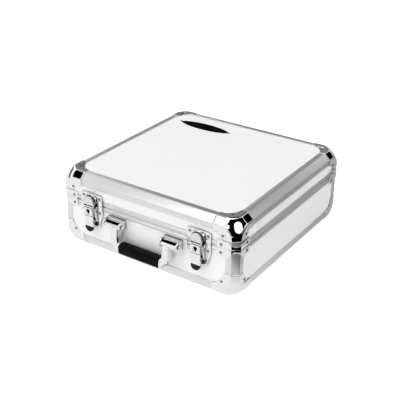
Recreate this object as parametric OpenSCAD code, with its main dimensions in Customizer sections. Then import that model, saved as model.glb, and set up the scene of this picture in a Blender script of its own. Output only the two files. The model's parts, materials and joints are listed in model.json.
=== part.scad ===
// Hard carry case: white laminate panels held in chamfered aluminium edge profiles, with a shallow
// hinged lid, chromed corner caps, two keyed draw latches and a drop handle on the front.
// Millimetres. +X is the case's right seen from the front, +Y its hinge side, +Z up.
// The origin is the centre of the bottom panel's underside.

/* [Case] */
// Outer width over the edge profiles
case_w = 370; // [300:1:600]
// Outer depth over the edge profiles, front to hinge side
case_d = 378; // [300:1:600]
// Outer height over the edge profiles, without feet
case_h = 144; // [138:1:260]
// Height of the lid's share of the case, from the split to the top
lid_h = 49.3; // [46:0.1:60]
// Open seam between the lid and the base
seam = 0.4; // [0.2:0.1:1]

/* [Panels and edge profiles] */
// Thickness of the laminate panels
panel_t = 5; // [4:0.5:8]
// Wall thickness of the aluminium profiles outside the panels
skin_t = 1.2; // [1:0.1:1.6]
// Wall thickness of the profiles' inner flanges
inner_t = 1; // [0.8:0.1:1.5]
// Leg of the 45 degree chamfer along every edge
chamfer = 11; // [9:0.5:14]
// Flange width beside the chamfer on the lid edges and the corner posts
flange_w = 10.5; // [8:0.5:14]
// Flange width beside the chamfer on the bottom edges
base_flange_w = 12.8; // [8:0.1:15]
// Play between a panel's edge and the profile around it
panel_play = 0.4; // [0.2:0.1:1]

/* [Closure rims] */
// Height of each rim's outer flange, measured from the split
rim_h = 9.4; // [8:0.2:14]
// Height of the rim's solid web beside the split
rim_web = 3.4; // [3:0.1:5]
// Width of the base rim's tongue
tongue_w = 2; // [1.5:0.1:2.5]
// Height of the tongue above the split
tongue_h = 1.5; // [1:0.1:2]
// Clearance between the tongue and the lid's groove, each side
tongue_play = 1.1; // [0.8:0.1:1.4]
// How far the rims' round beads stand out of the flange
bead_out = 0.7; // [0.3:0.1:0.7]

/* [Corner caps] */
// Thickness of the chromed caps and braces
cap_t = 1; // [0.8:0.1:1.5]
// Reach of a cap's legs past the flanges
cap_reach = 26.5; // [22:0.5:36]
// Radius of the concave edge on each of a cap's faces
cap_arc_r = 30; // [20:1:36]
// Distance of the arcs' centres past the flanges
cap_arc_in = 30.5; // [28:0.5:36]
// How deep the flat facet cuts past the point where the three chamfers meet, along the sum of the axes
facet_cut = 18.5; // [14:0.5:20]
// Distance of a cap's rivets past the flanges
cap_rivet_in = 6.5; // [5:0.5:8]
// Distance of the bottom's cap rivets past the bottom flanges
bottom_rivet_in = 4.2; // [4:0.1:5]

/* [Corner braces] */
// Reach of a brace's wings past the post's flanges
brace_reach = 16.5; // [13:0.5:24]
// Height of the lid braces
lid_brace_h = 13.5; // [12:0.5:14]
// Height of the base braces
base_brace_h = 15; // [13:0.5:20]
// Height of a brace where it crosses the chamfer
brace_waist = 5; // [4:0.5:8]
// Distance of a brace's rivets past the post's flanges
brace_rivet_in = 8.5; // [6:0.5:12]
// Height of the lid braces' rivets above the split
lid_brace_rivet = 5.8; // [5:0.1:7]
// Depth of the base braces' rivets below the split
base_brace_rivet = 9.2; // [8:0.1:11]

/* [Rivets] */
// Radius of a rivet's shank
rivet_r = 1.6; // [1.2:0.1:2]
// Radius of a rivet's head
rivet_head_r = 2.6; // [2.2:0.1:3]
// Height of a rivet's head
rivet_head_h = 0.9; // [0.6:0.1:1]
// Radial play of a rivet's hole
rivet_play = 0.1; // [0.05:0.05:0.2]

/* [Latches] */
// Distance of each latch from the case's middle
latch_x = 113.5; // [108:0.5:118]
// Width of the latch plate and of the keeper
latch_w = 46.5; // [44:0.5:52]
// Width of the latch plate's lower end
latch_foot_w = 32; // [28:0.5:36]
// Reach of the latch plate below the split
latch_drop = 42; // [40:0.5:50]
// Depth below the split at which the latch plate starts to narrow
latch_shoulder = 17; // [14:0.5:22]
// Height of the keeper's corners above the split
keeper_h = 18; // [17:0.5:20]
// Rise of the keeper's arched top over its corners
keeper_rise = 2.6; // [2:0.1:4]
// Face of the latch plate and the keeper, out of the case's front plane
plate_out = 2.2; // [2:0.1:2.5]
// Width of the lever and of the hook's face
lever_w = 18.4; // [17:0.1:20]
// Wall thickness of the lever
lever_t = 1.3; // [1:0.1:1.5]
// Front of the lever, out of the case's front plane
lever_out = 12.4; // [12:0.1:13]
// Reach of the metal lever below the split
lever_drop = 40.2; // [38:0.1:44]
// Reach of the lever's dark tip below the metal
tip_drop = 11; // [9:0.1:13]
// Pivot of the lever: depth below the split
pivot_drop = 2.5; // [2:0.1:3]
// Pivot of the lever: distance out of the front plane
pivot_out = 8; // [7.5:0.1:8.5]
// Radius of the pivot pins
latch_pin_r = 1.5; // [1.2:0.1:1.8]
// Hook trunnions: depth below the split
trunnion_drop = 20.5; // [19:0.1:22]
// Hook trunnions: distance out of the front plane
trunnion_out = 5.5; // [5:0.1:6]
// Height of the hook's round centre above the split
hook_up = 6.3; // [6:0.1:7]
// Depth of the lock cylinder's axis below the split
lock_drop = 11.3; // [11:0.1:12]
// Radius of the lock cylinder
lock_r = 5.2; // [4.5:0.1:5.4]
// Running clearance of the pins and the lock cylinders, on the radius
running = 0.05; // [0.02:0.01:0.09]

/* [Handle] */
// Middle of the handle, right of the case's middle
handle_x = 2; // [-5:0.5:5]
// Distance of each bracket's middle from the handle's middle
bracket_x = 60; // [56:0.5:66]
// Width of a bracket
bracket_w = 35.4; // [34:0.2:40]
// Thickness of a bracket's cheeks
cheek_t = 2.4; // [2:0.1:3]
// Radius of the bracket's round front, seen from the side
cheek_r = 8; // [7:0.5:9]
// Pivot of the handle below the split
handle_drop = 21.5; // [20:0.5:26]
// Pivot of the handle out of the front plane
handle_out = 10.5; // [10:0.1:12]
// Distance from the pivot down to the grip's middle
arm_l = 39.5; // [36:0.5:44]
// Width of an arm, along the case
arm_w = 13.6; // [12:0.1:14]
// Half of an arm's depth, square to the case
arm_r = 9; // [8:0.5:9]
// Distance of an arm's outer face from the handle's middle
arm_x = 60.6; // [60:0.1:62]
// Radius of the grip
grip_r = 10.2; // [9:0.1:10.4]
// Length of the grip
grip_l = 86; // [80:1:90]
// Width of the collar at each end of the grip
collar_w = 3.6; // [3:0.1:4]
// Radius of the steel core inside the grip
core_r = 4; // [3:0.5:5]
// Radius of the handle's pivot pins
handle_pin_r = 2.5; // [2:0.1:3]

/* [Hinges] */
// Distance of each hinge from the case's middle
hinge_x = 110; // [90:1:120]
// Width of a hinge
hinge_w = 50; // [45:1:60]
// Reach of each leaf from the split
leaf_h = 33; // [31:1:38]
// Thickness of the leaves
leaf_t = 1.8; // [1.5:0.1:2]
// Distance of the hinge pin out of the case's rear plane
hinge_out = 5; // [4.8:0.1:5.5]
// Radius of the knuckles
knuckle_r = 3.6; // [3.4:0.1:3.7]
// Radius of the hinge pin
hinge_pin_r = 1.7; // [1.5:0.1:2]
// Length of the lugs that stop the open lid
stop_l = 7.5; // [7:0.1:8]

/* [Lining] */
// Thickness of the foam on the walls and the floor
foam_t = 5; // [3:0.5:8]
// Thickness of the foam pad in the lid
pad_t = 12; // [8:1:15]
// Gap between the foam and the metal beside it
foam_play = 0.3; // [0.1:0.1:0.5]

/* [Badge] */
// Length of the blank badge on the lid
badge_l = 110; // [90:1:130]
// Width of the badge
badge_w = 28; // [20:1:36]
// Thickness of the badge
badge_t = 1.2; // [0.8:0.1:2]
// Badge's middle, left of the case's middle
badge_left = 84; // [70:1:90]
// Badge's middle, from the hinge side's outer plane
badge_from_back = 63; // [55:1:80]

/* [Feet] */
// Radius of the rubber feet
foot_r = 11; // [8:1:14]
// Height of the feet under the bottom panel
foot_h = 6; // [5:0.5:9]
// Distance of the feet from the outer planes
foot_at = 62; // [60:1:80]

/* [Hidden] */

FRONT = 0;
RIGHT = 1;
BACK = 2;
LEFT = 3;
eps = 0.01;
big = 400;
// Least metal between the bottom of a panel slot and the inner angle of an edge profile
web = 1;
diagonal = tan(22.5);

// Heights
base_z = -skin_t;
top_z = base_z + case_h;
split_z = top_z - lid_h;
lid_low_z = split_z + seam / 2;
base_high_z = split_z - seam / 2;

// Depths inside the outer planes
panel_in = skin_t + panel_t;
inner_in = panel_in + inner_t;
panel_edge = chamfer + skin_t * diagonal + panel_play;
foam_in = inner_in + foam_play;
edge_end = chamfer + flange_w;
base_edge_end = chamfer + base_flange_w;
// The corner facets' depth, and where the profiles stop short of them and of each other
cap_facet = 1.5 * chamfer + facet_cut;
profile_end = max(edge_end, base_edge_end, cap_facet - chamfer + 1);

// Caps and braces, from the outer planes
cap_leg = edge_end + cap_reach;
cap_arc_at = edge_end + cap_arc_in;
cap_rivet_at = edge_end + cap_rivet_in;
brace_w = edge_end + brace_reach;
brace_rivet_at = edge_end + brace_rivet_in;

// A cap that lies on a panel is this far below the case's outer plane
cap_seat = skin_t - cap_t;
lid_cap_drop = lid_h - lid_brace_h - 1;

// Hinge knuckles
knuckles = 5;
knuckle_w = hinge_w / knuckles;

// Latch stack, from the middle of the latch outwards
ear_out = lever_w / 2 - lever_t - 0.4;
ear_t = 1.4;
arm_in = lever_w / 2 + 0.4;
arm_t = 1.4;
guard_in = arm_in + arm_t + 0.5;
guard_t = 1.4;
pivot_z = split_z - pivot_drop;
trunnion_z = split_z - trunnion_drop;
hook_z = split_z + hook_up;
hook_r = arm_in + arm_t;
hook_face_low = 1.5;
lip_out = trunnion_out + 0.6;
nose_in = lip_out + 0.6;

// Handle
handle_z = split_z - handle_drop;
grip_z = handle_z - arm_l;
grip_out = handle_out + 0.9;
cheek_z = handle_z + 2;
hub_r = cheek_r - 0.6;
collar_in = grip_l / 2;
arm_start = collar_in + collar_w;

function reach(side) = side % 2 == 0 ? case_d / 2 : case_w / 2;
function span(side) = side % 2 == 0 ? case_w : case_d;

// ---- placing ----

// Stands children on one side: X runs along it, -Y points out of it, Y = 0 is its outer plane
module on_side(side) {
    rotate([0, 0, 90 * side]) translate([0, -reach(side), 0]) children();
}

// Turns a side's frame so that children's +Z points out of the wall and +Y up
module facing_out(x, z, out = 0) {
    translate([x, -out, z]) rotate([90, 0, 0]) children();
}

module both_x() {
    children();
    mirror([1, 0, 0]) children();
}

module both_y() {
    children();
    mirror([0, 1, 0]) children();
}

// Children are drawn for a corner whose three faces look along +X, +Y and +Z from the origin
module at_top_corners() {
    both_x() both_y() translate([case_w / 2, case_d / 2, top_z]) children();
}

module at_bottom_corners() {
    both_x() both_y() translate([case_w / 2, case_d / 2, base_z]) mirror([0, 0, 1]) children();
}

// Runs a 2D profile, X inwards and Y up from an edge at height z, along a side for length l
module along_side(side, z, l) {
    on_side(side) translate([-l / 2, 0, z]) rotate([90, 0, 90]) linear_extrude(l) children();
}

// Extrudes a 2D shape, X out of the front and Y up, from x0 to x1 across the front
module across_front(x0, x1) {
    translate([x0, -case_d / 2, 0]) rotate([90, 0, 90]) linear_extrude(x1 - x0)
        mirror([1, 0]) children();
}

// ---- rivets ----

module rivet(grip) {
    translate([0, 0, -grip]) cylinder(r = rivet_r, h = grip, $fn = 20);
    cylinder(r = rivet_head_r, h = rivet_head_h / 2, $fn = 28);
    translate([0, 0, rivet_head_h / 2])
        cylinder(r1 = rivet_head_r, r2 = rivet_r, h = rivet_head_h / 2, $fn = 28);
}

module rivet_hole() {
    translate([0, 0, -10]) cylinder(r = rivet_r + rivet_play, h = 20, $fn = 20);
}

// Each of these puts a rivet, or its hole, at every place of one kind of fitting
module fix(hole, grip) {
    if (hole) rivet_hole();
    else rivet(grip);
}

module wall_cap_rivets(hole, z) {
    for (side = [FRONT, RIGHT, BACK, LEFT]) on_side(side) both_x()
        facing_out(span(side) / 2 - cap_rivet_at, z, -cap_seat) fix(hole, panel_in - cap_seat);
}

module flat_cap_rivets(hole, at) {
    both_x() both_y() translate([case_w / 2 - at, case_d / 2 - at, -cap_seat])
        fix(hole, panel_in - cap_seat);
}

module brace_rivets(hole, z) {
    for (side = [FRONT, RIGHT, BACK, LEFT]) on_side(side) both_x()
        facing_out(span(side) / 2 - brace_rivet_at, z, cap_t) fix(hole, panel_in + cap_t);
}

module hinge_rivets(hole, up) {
    on_side(BACK) both_x() for (dx = [-17, 17], dz = [14, 26])
        facing_out(hinge_x + dx, split_z + up * dz, leaf_face) fix(hole, leaf_face + panel_in);
}

module keeper_rivets(hole) {
    on_side(FRONT) both_x() for (dx = [-18, 18])
        facing_out(latch_x + dx, split_z + 13.5, plate_out) fix(hole, plate_out + panel_in);
}

module plate_rivets(hole) {
    on_side(FRONT) both_x() for (at = [[18, -14], [-18, -14], [13.3, -37], [-13.3, -37]])
        facing_out(latch_x + at.x, split_z + at.y, plate_out) fix(hole, plate_out + panel_in);
}

module bracket_rivets(hole) {
    on_side(FRONT) translate([handle_x, 0, 0]) both_x()
        for (at = [[-10.5, 4.5], [10.5, 4.5], [-10.5, -5], [10.5, -5]])
            facing_out(bracket_x + at.x, handle_z + at.y, bracket_back)
                fix(hole, bracket_back + panel_in);
}

module lid_fixings(hole) {
    wall_cap_rivets(hole, top_z - cap_rivet_at);
    translate([0, 0, top_z]) flat_cap_rivets(hole, cap_rivet_at);
    brace_rivets(hole, split_z + lid_brace_rivet);
    hinge_rivets(hole, 1);
    keeper_rivets(hole);
}

module base_fixings(hole) {
    wall_cap_rivets(hole, base_z + cap_rivet_at + base_flange_w - flange_w);
    translate([0, 0, base_z]) mirror([0, 0, 1]) flat_cap_rivets(hole, base_edge_end + bottom_rivet_in);
    brace_rivets(hole, split_z - base_brace_rivet);
    hinge_rivets(hole, -1);
    plate_rivets(hole);
    bracket_rivets(hole);
}

// ---- panels ----

// The half space beyond the flat facet of a corner, with the panels' play
module facet_room() {
    beyond([0, -atan(1 / sqrt(2)), 45], -panel_play - cap_facet / sqrt(3));
}

module flat_panel() {
    inset = 2 * panel_edge;
    translate([-case_w / 2 + panel_edge, -case_d / 2 + panel_edge, 0])
        cube([case_w - inset, case_d - inset, panel_t]);
}

module wall_panel(side, z0, z1) {
    l = span(side) - 2 * panel_edge;
    on_side(side) translate([-l / 2, skin_t, z0]) cube([l, panel_t, z1 - z0]);
}

module lid_wall(side) {
    color("white") difference() {
        wall_panel(side, split_z + rim_web + panel_play, top_z - panel_edge);
        at_top_corners() facet_room();
        lid_fixings(true);
    }
}

module base_wall(side) {
    color("white") difference() {
        wall_panel(side, base_z + panel_edge, split_z - rim_web - panel_play);
        at_bottom_corners() facet_room();
        base_fixings(true);
    }
}

module lid_top_panel() {
    color("white") difference() {
        translate([0, 0, top_z - panel_in]) flat_panel();
        at_top_corners() facet_room();
        lid_fixings(true);
        badge_pin_places() cylinder(r = badge_pin_r + rivet_play, h = 20, center = true, $fn = 20);
    }
}

module base_bottom_panel() {
    color("white") difference() {
        flat_panel();
        at_bottom_corners() facet_room();
        base_fixings(true);
        at_feet() cylinder(r = foot_screw_r + rivet_play, h = 20, center = true, $fn = 20);
    }
}

// ---- edge profiles ----

// Section of an edge: two flanges on a chamfer, and an inner angle; a slot between them takes
// each panel. The case's corner line is the origin; the metal lies at +X and -Y of it.
module edge_section(flange_x, flange_y) {
    end_x = chamfer + flange_x;
    end_y = chamfer + flange_y;
    // the inside of the chamfer meets a flange at turn, and the inner angle at neck
    turn = chamfer + skin_t * diagonal;
    neck = max(turn + skin_t - panel_in, panel_in + web);
    polygon([[end_x, 0], [chamfer, 0], [0, -chamfer], [0, -end_y], [skin_t, -end_y],
        [skin_t, -turn], [panel_in, -neck], [panel_in, -end_y], [inner_in, -end_y],
        [inner_in, -inner_in], [end_x, -inner_in], [end_x, -panel_in], [neck, -panel_in],
        [turn, -skin_t], [end_x, -skin_t]]);
}

module lid_edge(side) {
    color("silver") difference() {
        along_side(side, top_z, span(side) - 2 * profile_end) edge_section(flange_w, flange_w);
        lid_fixings(true);
    }
}

module base_edge(side) {
    color("silver") difference() {
        along_side(side, base_z, span(side) - 2 * profile_end)
            mirror([0, 1]) edge_section(base_flange_w, base_flange_w);
        base_fixings(true);
    }
}

module corner_posts(z0, z1) {
    both_x() both_y() translate([-case_w / 2, case_d / 2, z0])
        linear_extrude(z1 - z0) edge_section(flange_w, flange_w);
}

module lid_corner_posts() {
    color("silver") difference() {
        corner_posts(lid_low_z, top_z - profile_end);
        lid_fixings(true);
    }
}

module base_corner_posts() {
    color("silver") difference() {
        corner_posts(base_z + profile_end, base_high_z);
        base_fixings(true);
    }
}

// ---- closure rims ----

// Section of the lid's rim above the split line: X inwards, Y away from the split
module rim_section() {
    difference() {
        union() {
            translate([0, seam / 2]) square([skin_t, rim_h - seam / 2]);
            translate([0, seam / 2]) square([inner_in, rim_web - seam / 2]);
            translate([panel_in, seam / 2]) square([inner_t, rim_h - 2]);
            translate([1.4 - bead_out, 5.6]) circle(r = 1.4, $fn = 24);
        }
        // the hollow along the split, and the shadow line at the flange's far edge
        circle(r = 1.5, $fn = 24);
        translate([0, rim_h - 1.2]) circle(r = 0.5, $fn = 16);
        // the inside of the bead stays clear of the panel
        translate([skin_t, rim_web]) square([panel_t, rim_h]);
    }
}

tongue_in = panel_in / 2 - tongue_w / 2 + 1;

// The beads stop where the braces lie flat on the rims
module brace_room() {
    for (side = [FRONT, RIGHT, BACK, LEFT]) on_side(side) both_x()
        translate([span(side) / 2 - brace_w - panel_play, -5, split_z - rim_h])
            cube([brace_w, 5, 2 * rim_h]);
}

module lid_rim() {
    color("silver") difference() {
        for (side = [FRONT, RIGHT, BACK, LEFT])
            along_side(side, split_z, span(side) - 2 * edge_end) difference() {
                rim_section();
                translate([tongue_in - tongue_play, -1])
                    square([tongue_w + 2 * tongue_play, tongue_h + 1.8]);
            }
        brace_room();
        lid_fixings(true);
    }
}

module base_rim() {
    color("silver") difference() {
        for (side = [FRONT, RIGHT, BACK, LEFT])
            along_side(side, split_z, span(side) - 2 * edge_end) {
                mirror([0, 1]) rim_section();
                translate([tongue_in, -1]) square([tongue_w, tongue_h + 1]);
            }
        brace_room();
        base_fixings(true);
    }
}

// ---- corner caps and braces ----

// The half space beyond a 45 degree plane through each edge of the corner
module beyond(turn, at) {
    rotate(turn) translate([at, -big, -big]) cube([big, 2 * big, 2 * big]);
}

// The corner of the case grown outwards by s, without the slabs over the panels that start
// at their distance from the edges plus step
module corner_block(s, step, flange_z) {
    flange_at = edge_end + step;
    flat_at = chamfer + flange_z + step;
    drop = skin_t - s;
    difference() {
        translate([-cap_leg - 10, -cap_leg - 10, -cap_leg - 10]) cube(cap_leg + 10 + s);
        beyond([0, 0, 45], s - chamfer / sqrt(2));
        beyond([0, -45, 0], s - chamfer / sqrt(2));
        beyond([0, -45, 90], s - chamfer / sqrt(2));
        beyond([0, -atan(1 / sqrt(2)), 45], s - cap_facet / sqrt(3));
        translate([-big - flange_at, -drop, -big - flat_at]) cube(big);
        translate([-drop, -big - flange_at, -big - flat_at]) cube(big);
        translate([-big - flat_at, -big - flat_at, -drop]) cube(big);
    }
}

// A pressed corner: three legs, concave between them, stepped down from the flanges to the panels
module corner_cap(down, flange_z) {
    arc_z = cap_arc_at + flange_z - flange_w;
    difference() {
        intersection() {
            corner_block(cap_t, cap_t, flange_z);
            translate([-cap_leg, -cap_leg, -down]) cube(big);
        }
        corner_block(0, 0, flange_z);
        translate([-cap_arc_at, -cap_arc_at, -10]) cylinder(r = cap_arc_r, h = 20, $fn = 96);
        for (turn = [[90, 0, 0], [0, 90, 0]])
            translate([turn.x > 0 ? -cap_arc_at : 0, turn.y > 0 ? -cap_arc_at : 0, -arc_z])
                rotate(turn) cylinder(r = cap_arc_r, h = 20, center = true, $fn = 96);
    }
}

module lid_corner_caps() {
    color("gainsboro") difference() {
        at_top_corners() corner_cap(lid_cap_drop, flange_w);
        lid_fixings(true);
    }
}

module base_corner_caps() {
    color("gainsboro") difference() {
        at_bottom_corners() corner_cap(cap_leg, base_flange_w);
        base_fixings(true);
    }
}

// A brace's wing in the plane of a wall: X away from the corner, Y away from the split
module wing(h) {
    r = 3;
    start = chamfer - cap_t * diagonal;
    translate([start, 0]) square([brace_w - r - start, h]);
    translate([start, r]) square([brace_w - start, h - 2 * r]);
    for (y = [r, h - r]) translate([brace_w - r, y]) circle(r = r, $fn = 32);
}

// A brace for the corner whose faces look along +X and +Y, standing up from Z = 0
module corner_brace(h) {
    start = chamfer - cap_t * diagonal;
    difference() {
        union() {
            mirror([1, 0, 0]) translate([0, cap_t, 0]) rotate([90, 0, 0])
                linear_extrude(cap_t) wing(h);
            mirror([0, 1, 0]) rotate([90, 0, 90]) linear_extrude(cap_t) wing(h);
            linear_extrude(h) polygon([[cap_t, -start - 1], [cap_t, -start], [-start, cap_t],
                [-start - 1, cap_t], [-start - 1, 0], [-chamfer, 0], [0, -chamfer],
                [0, -start - 1]]);
        }
        // the waist: a round cut from the far side, square to the chamfer
        translate([0, 0, brace_waist + chamfer]) rotate([0, 90, 45])
            cylinder(r = chamfer, h = 3 * chamfer, center = true, $fn = 48);
    }
}

module lid_corner_braces() {
    color("gainsboro") difference() {
        both_x() both_y() translate([case_w / 2, case_d / 2, lid_low_z])
            corner_brace(lid_brace_h);
        lid_fixings(true);
    }
}

module base_corner_braces() {
    color("gainsboro") difference() {
        both_x() both_y() translate([case_w / 2, case_d / 2, base_high_z])
            mirror([0, 0, 1]) corner_brace(base_brace_h);
        base_fixings(true);
    }
}

module lid_rivets() {
    color("silver") lid_fixings(false);
}

module base_rivets() {
    color("silver") base_fixings(false);
}

// ---- badge ----

badge_pin_r = 0.9;
badge_tab = 7.6;

module at_badge() {
    translate([-badge_left, case_d / 2 - badge_from_back, top_z - skin_t]) children();
}

module badge_pin_places() {
    at_badge() both_x() translate([badge_l / 2 + 3, 0, 0]) children();
}

// A blank oval with slightly pointed ends: X is a cosine and Y a sine raised to a power
module badge_outline() {
    power = 1.25;
    polygon([for (turn = [0 : 4 : 356])
        [badge_l / 2 * cos(turn), badge_w / 2 * sign(sin(turn)) * pow(abs(sin(turn)), power)]]);
}

module badge_plate() {
    color("black") at_badge() {
        linear_extrude(badge_t) badge_outline();
        both_x() translate([badge_l / 2 + 3, 0, 0]) difference() {
            translate([1.6 - badge_tab, -1.6, 0]) cube([badge_tab, 3.2, badge_t / 2]);
            cylinder(r = badge_pin_r + rivet_play, h = 5, center = true, $fn = 20);
        }
    }
}

module badge_pins() {
    color("silver") badge_pin_places() {
        translate([0, 0, -panel_t]) cylinder(r = badge_pin_r, h = panel_t + badge_t, $fn = 20);
        translate([0, 0, badge_t / 2]) cylinder(r1 = 1.6, r2 = 1, h = 1, $fn = 24);
    }
}

// ---- lining ----

// Two slabs along the front and back walls, and two between them
module foam_walls(z0, z1) {
    both_y() translate([-case_w / 2 + foam_in, case_d / 2 - foam_in - foam_t, z0])
        cube([case_w - 2 * foam_in, foam_t, z1 - z0]);
    l = case_d - 2 * (foam_in + foam_t + foam_play);
    both_x() translate([case_w / 2 - foam_in - foam_t, -l / 2, z0]) cube([foam_t, l, z1 - z0]);
}

module foam_slab(z, t) {
    translate([-case_w / 2 + foam_in, -case_d / 2 + foam_in, z])
        cube([case_w - 2 * foam_in, case_d - 2 * foam_in, t]);
}

pad_z = top_z - foam_in - pad_t;
floor_foam_z = base_z + foam_in;

module lid_foam() {
    color("dimgray") difference() {
        union() {
            foam_slab(pad_z, pad_t);
            foam_walls(lid_low_z + 2, pad_z - foam_play);
        }
        at_top_corners() facet_room();
    }
}

module base_foam() {
    color("dimgray") difference() {
        union() {
            foam_slab(floor_foam_z, foam_t);
            foam_walls(floor_foam_z + foam_t + foam_play, base_high_z - 2);
        }
        at_bottom_corners() facet_room();
    }
}

// ---- latches ----

// Outline of the latch plate below the split, X across and Y up from the split
module plate_outline() {
    polygon([[-latch_w / 2, -seam / 2], [-latch_w / 2, -latch_shoulder],
        [-latch_foot_w / 2, -latch_drop], [latch_foot_w / 2, -latch_drop],
        [latch_w / 2, -latch_shoulder], [latch_w / 2, -seam / 2]]);
}

// Outline of the keeper above the split, with its arched top
module keeper_outline() {
    arch_r = (pow(latch_w / 2, 2) + pow(keeper_rise, 2)) / (2 * keeper_rise);
    intersection() {
        translate([-latch_w / 2, seam / 2]) square([latch_w, 2 * keeper_h]);
        translate([0, keeper_h + keeper_rise - arch_r]) circle(r = arch_r, $fn = 180);
    }
}

// Cuts the room for the rim's flange and bead behind a plate
module rim_room() {
    translate([-latch_w, -rim_h - panel_play, -10])
        cube([2 * latch_w, 2 * (rim_h + panel_play), 10 + bead_out + 0.1]);
}

// Children stand at one latch's middle: X across, Y up from the split, Z out of the front plane
module at_latch(s) {
    translate([s * latch_x, -case_d / 2, split_z]) rotate([90, 0, 0]) children();
}

// Extrudes a 2D shape, X out of the case and Y up from the split, across a latch from x0 to x1
module across_latch(x0, x1) {
    translate([x0, 0, 0]) rotate([0, 90, 0]) linear_extrude(x1 - x0)
        mirror([1, 0]) children();
}

// A bore or pin across a latch
module cross_pin(out, up, r, x0, x1) {
    translate([x0, up, out]) rotate([0, 90, 0]) cylinder(r = r, h = x1 - x0, $fn = 32);
}

module latch_plate(s) {
    color("gainsboro") difference() {
        at_latch(s) difference() {
            union() {
                translate([0, 0, -skin_t]) linear_extrude(plate_out + skin_t) plate_outline();
                // inner ears that carry the lever's pivot
                both_x() across_latch(ear_out - ear_t, ear_out) ear_outline();
                // outer guards with their oval bosses
                both_x() across_latch(guard_in, guard_in + guard_t) guard_outline();
                both_x() across_latch(guard_in + guard_t - eps, guard_in + guard_t + 1)
                    boss_outline();
            }
            rim_room();
            cross_pin(pivot_out, -pivot_drop, latch_pin_r + running / 2, -20, 20);
        }
        plate_rivets(true);
    }
}

module ear_outline() {
    translate([pivot_out, -pivot_drop]) circle(r = 2.9, $fn = 32);
    polygon([[plate_out - 1, -14], [plate_out - 1, -pivot_drop], [pivot_out, 0.4],
        [pivot_out + 2.9, -pivot_drop], [pivot_out, -8]]);
}

module guard_outline() {
    polygon([[plate_out - 1, -35], [plate_out - 1, -1], [8, -1], [9.5, -4], [9.5, -10], [7, -27]]);
}

module boss_outline() {
    polygon([[plate_out - 1, -10], [plate_out - 1, -1.2], [6.5, -1.2], [8.2, -3], [8.2, -8.4],
        [6.5, -10]]);
}

module latch_keeper(s) {
    color("gainsboro") difference() {
        at_latch(s) difference() {
            union() {
                translate([0, 0, -skin_t]) linear_extrude(plate_out + skin_t) keeper_outline();
                // the lip that the hook reaches over
                translate([-7.5, hook_up - 0.5, 0]) cube([15, 4, lip_out]);
                // a raised arch round the hook's head
                translate([0, hook_up, 0]) linear_extrude(6.5) difference() {
                    circle(r = hook_r + 2.6, $fn = 64);
                    circle(r = hook_r + 1, $fn = 64);
                    translate([-30, -60]) square(60);
                }
            }
            rim_room();
        }
        keeper_rivets(true);
    }
}

// The folded lever: a face and two side walls, open at the back
module latch_lever(s) {
    half = lever_w / 2;
    color("gainsboro") at_latch(s) difference() {
        union() {
            translate([-half, -lever_drop, lever_out - lever_t])
                cube([lever_w, lever_drop - 0.4, lever_t]);
            both_x() across_latch(half - lever_t, half) lever_side();
            // tongue for the tip
            translate([-half + 3, -lever_drop - 6, lever_out - 2.4]) cube([lever_w - 6, 7, 1.3]);
        }
        cross_pin(pivot_out, -pivot_drop, latch_pin_r + running, -20, 20);
        cross_pin(trunnion_out, -trunnion_drop, latch_pin_r + running, -20, 20);
        translate([0, -lock_drop, 0]) cylinder(r = lock_r + running, h = 30, $fn = 48);
    }
}

module lever_side() {
    front = lever_out - 0.5;
    polygon([[front, -0.4], [front, -lever_drop], [9.5, -lever_drop], [trunnion_out - 2.4, -26],
        [trunnion_out - 2.4, -18], [pivot_out - 3.4, -5], [pivot_out - 3, -0.4]]);
}

// The dark tip: a half disc pushed over the lever's tongue
module latch_tip(s) {
    half = lever_w / 2 - 0.2;
    straight = tip_drop - half;
    color("#202020") at_latch(s) difference() {
        translate([0, -lever_drop - 0.1, lever_out - 3.6]) linear_extrude(3.8) {
            translate([-half, -straight]) square([2 * half, straight]);
            intersection() {
                translate([0, -straight]) circle(r = half, $fn = 64);
                translate([-half, -2 * half]) square([2 * half, 2 * half]);
            }
        }
        translate([-lever_w / 2 + 2.95, -lever_drop - 6.05, lever_out - 2.45])
            cube([lever_w - 5.9, 8, 1.4]);
    }
}

// The hook: a yoke outside the lever, hung on two trunnions, with a round-topped face
module latch_hook(s) {
    half = lever_w / 2;
    color("gainsboro") at_latch(s) {
        both_x() across_latch(arm_in, arm_in + arm_t) hook_side();
        both_x() cross_pin(trunnion_out, -trunnion_drop, latch_pin_r, half - lever_t, arm_in + eps);
        translate([0, hook_up, nose_in]) linear_extrude(lever_out - 0.4 - nose_in) difference() {
            circle(r = hook_r, $fn = 64);
            circle(r = arm_in, $fn = 64);
            translate([-30, -60]) square(60);
        }
        translate([0, 0, lever_out - 2]) linear_extrude(1.2) intersection() {
            union() {
                translate([0, hook_up]) circle(r = arm_in + 0.2, $fn = 64);
                translate([-arm_in - 0.2, hook_face_low])
                    square([2 * (arm_in + 0.2), hook_up - hook_face_low]);
            }
            translate([-30, hook_face_low]) square(60);
        }
    }
}

module hook_side() {
    translate([trunnion_out, -trunnion_drop]) circle(r = 3, $fn = 32);
    polygon([[trunnion_out - 2.4, -trunnion_drop - 1], [trunnion_out + 2.6, -trunnion_drop - 1],
        [lever_out - 0.4, -2], [lever_out - 0.4, hook_up], [nose_in, hook_up],
        [trunnion_out - 2.4, -9]]);
}

// The keyhole's outline: a round over a wedge
module keyhole() {
    translate([0, 1.5]) circle(r = 2.3, $fn = 32);
    polygon([[-1.2, 1], [1.2, 1], [1.9, -3.8], [-1.9, -3.8]]);
}

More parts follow.
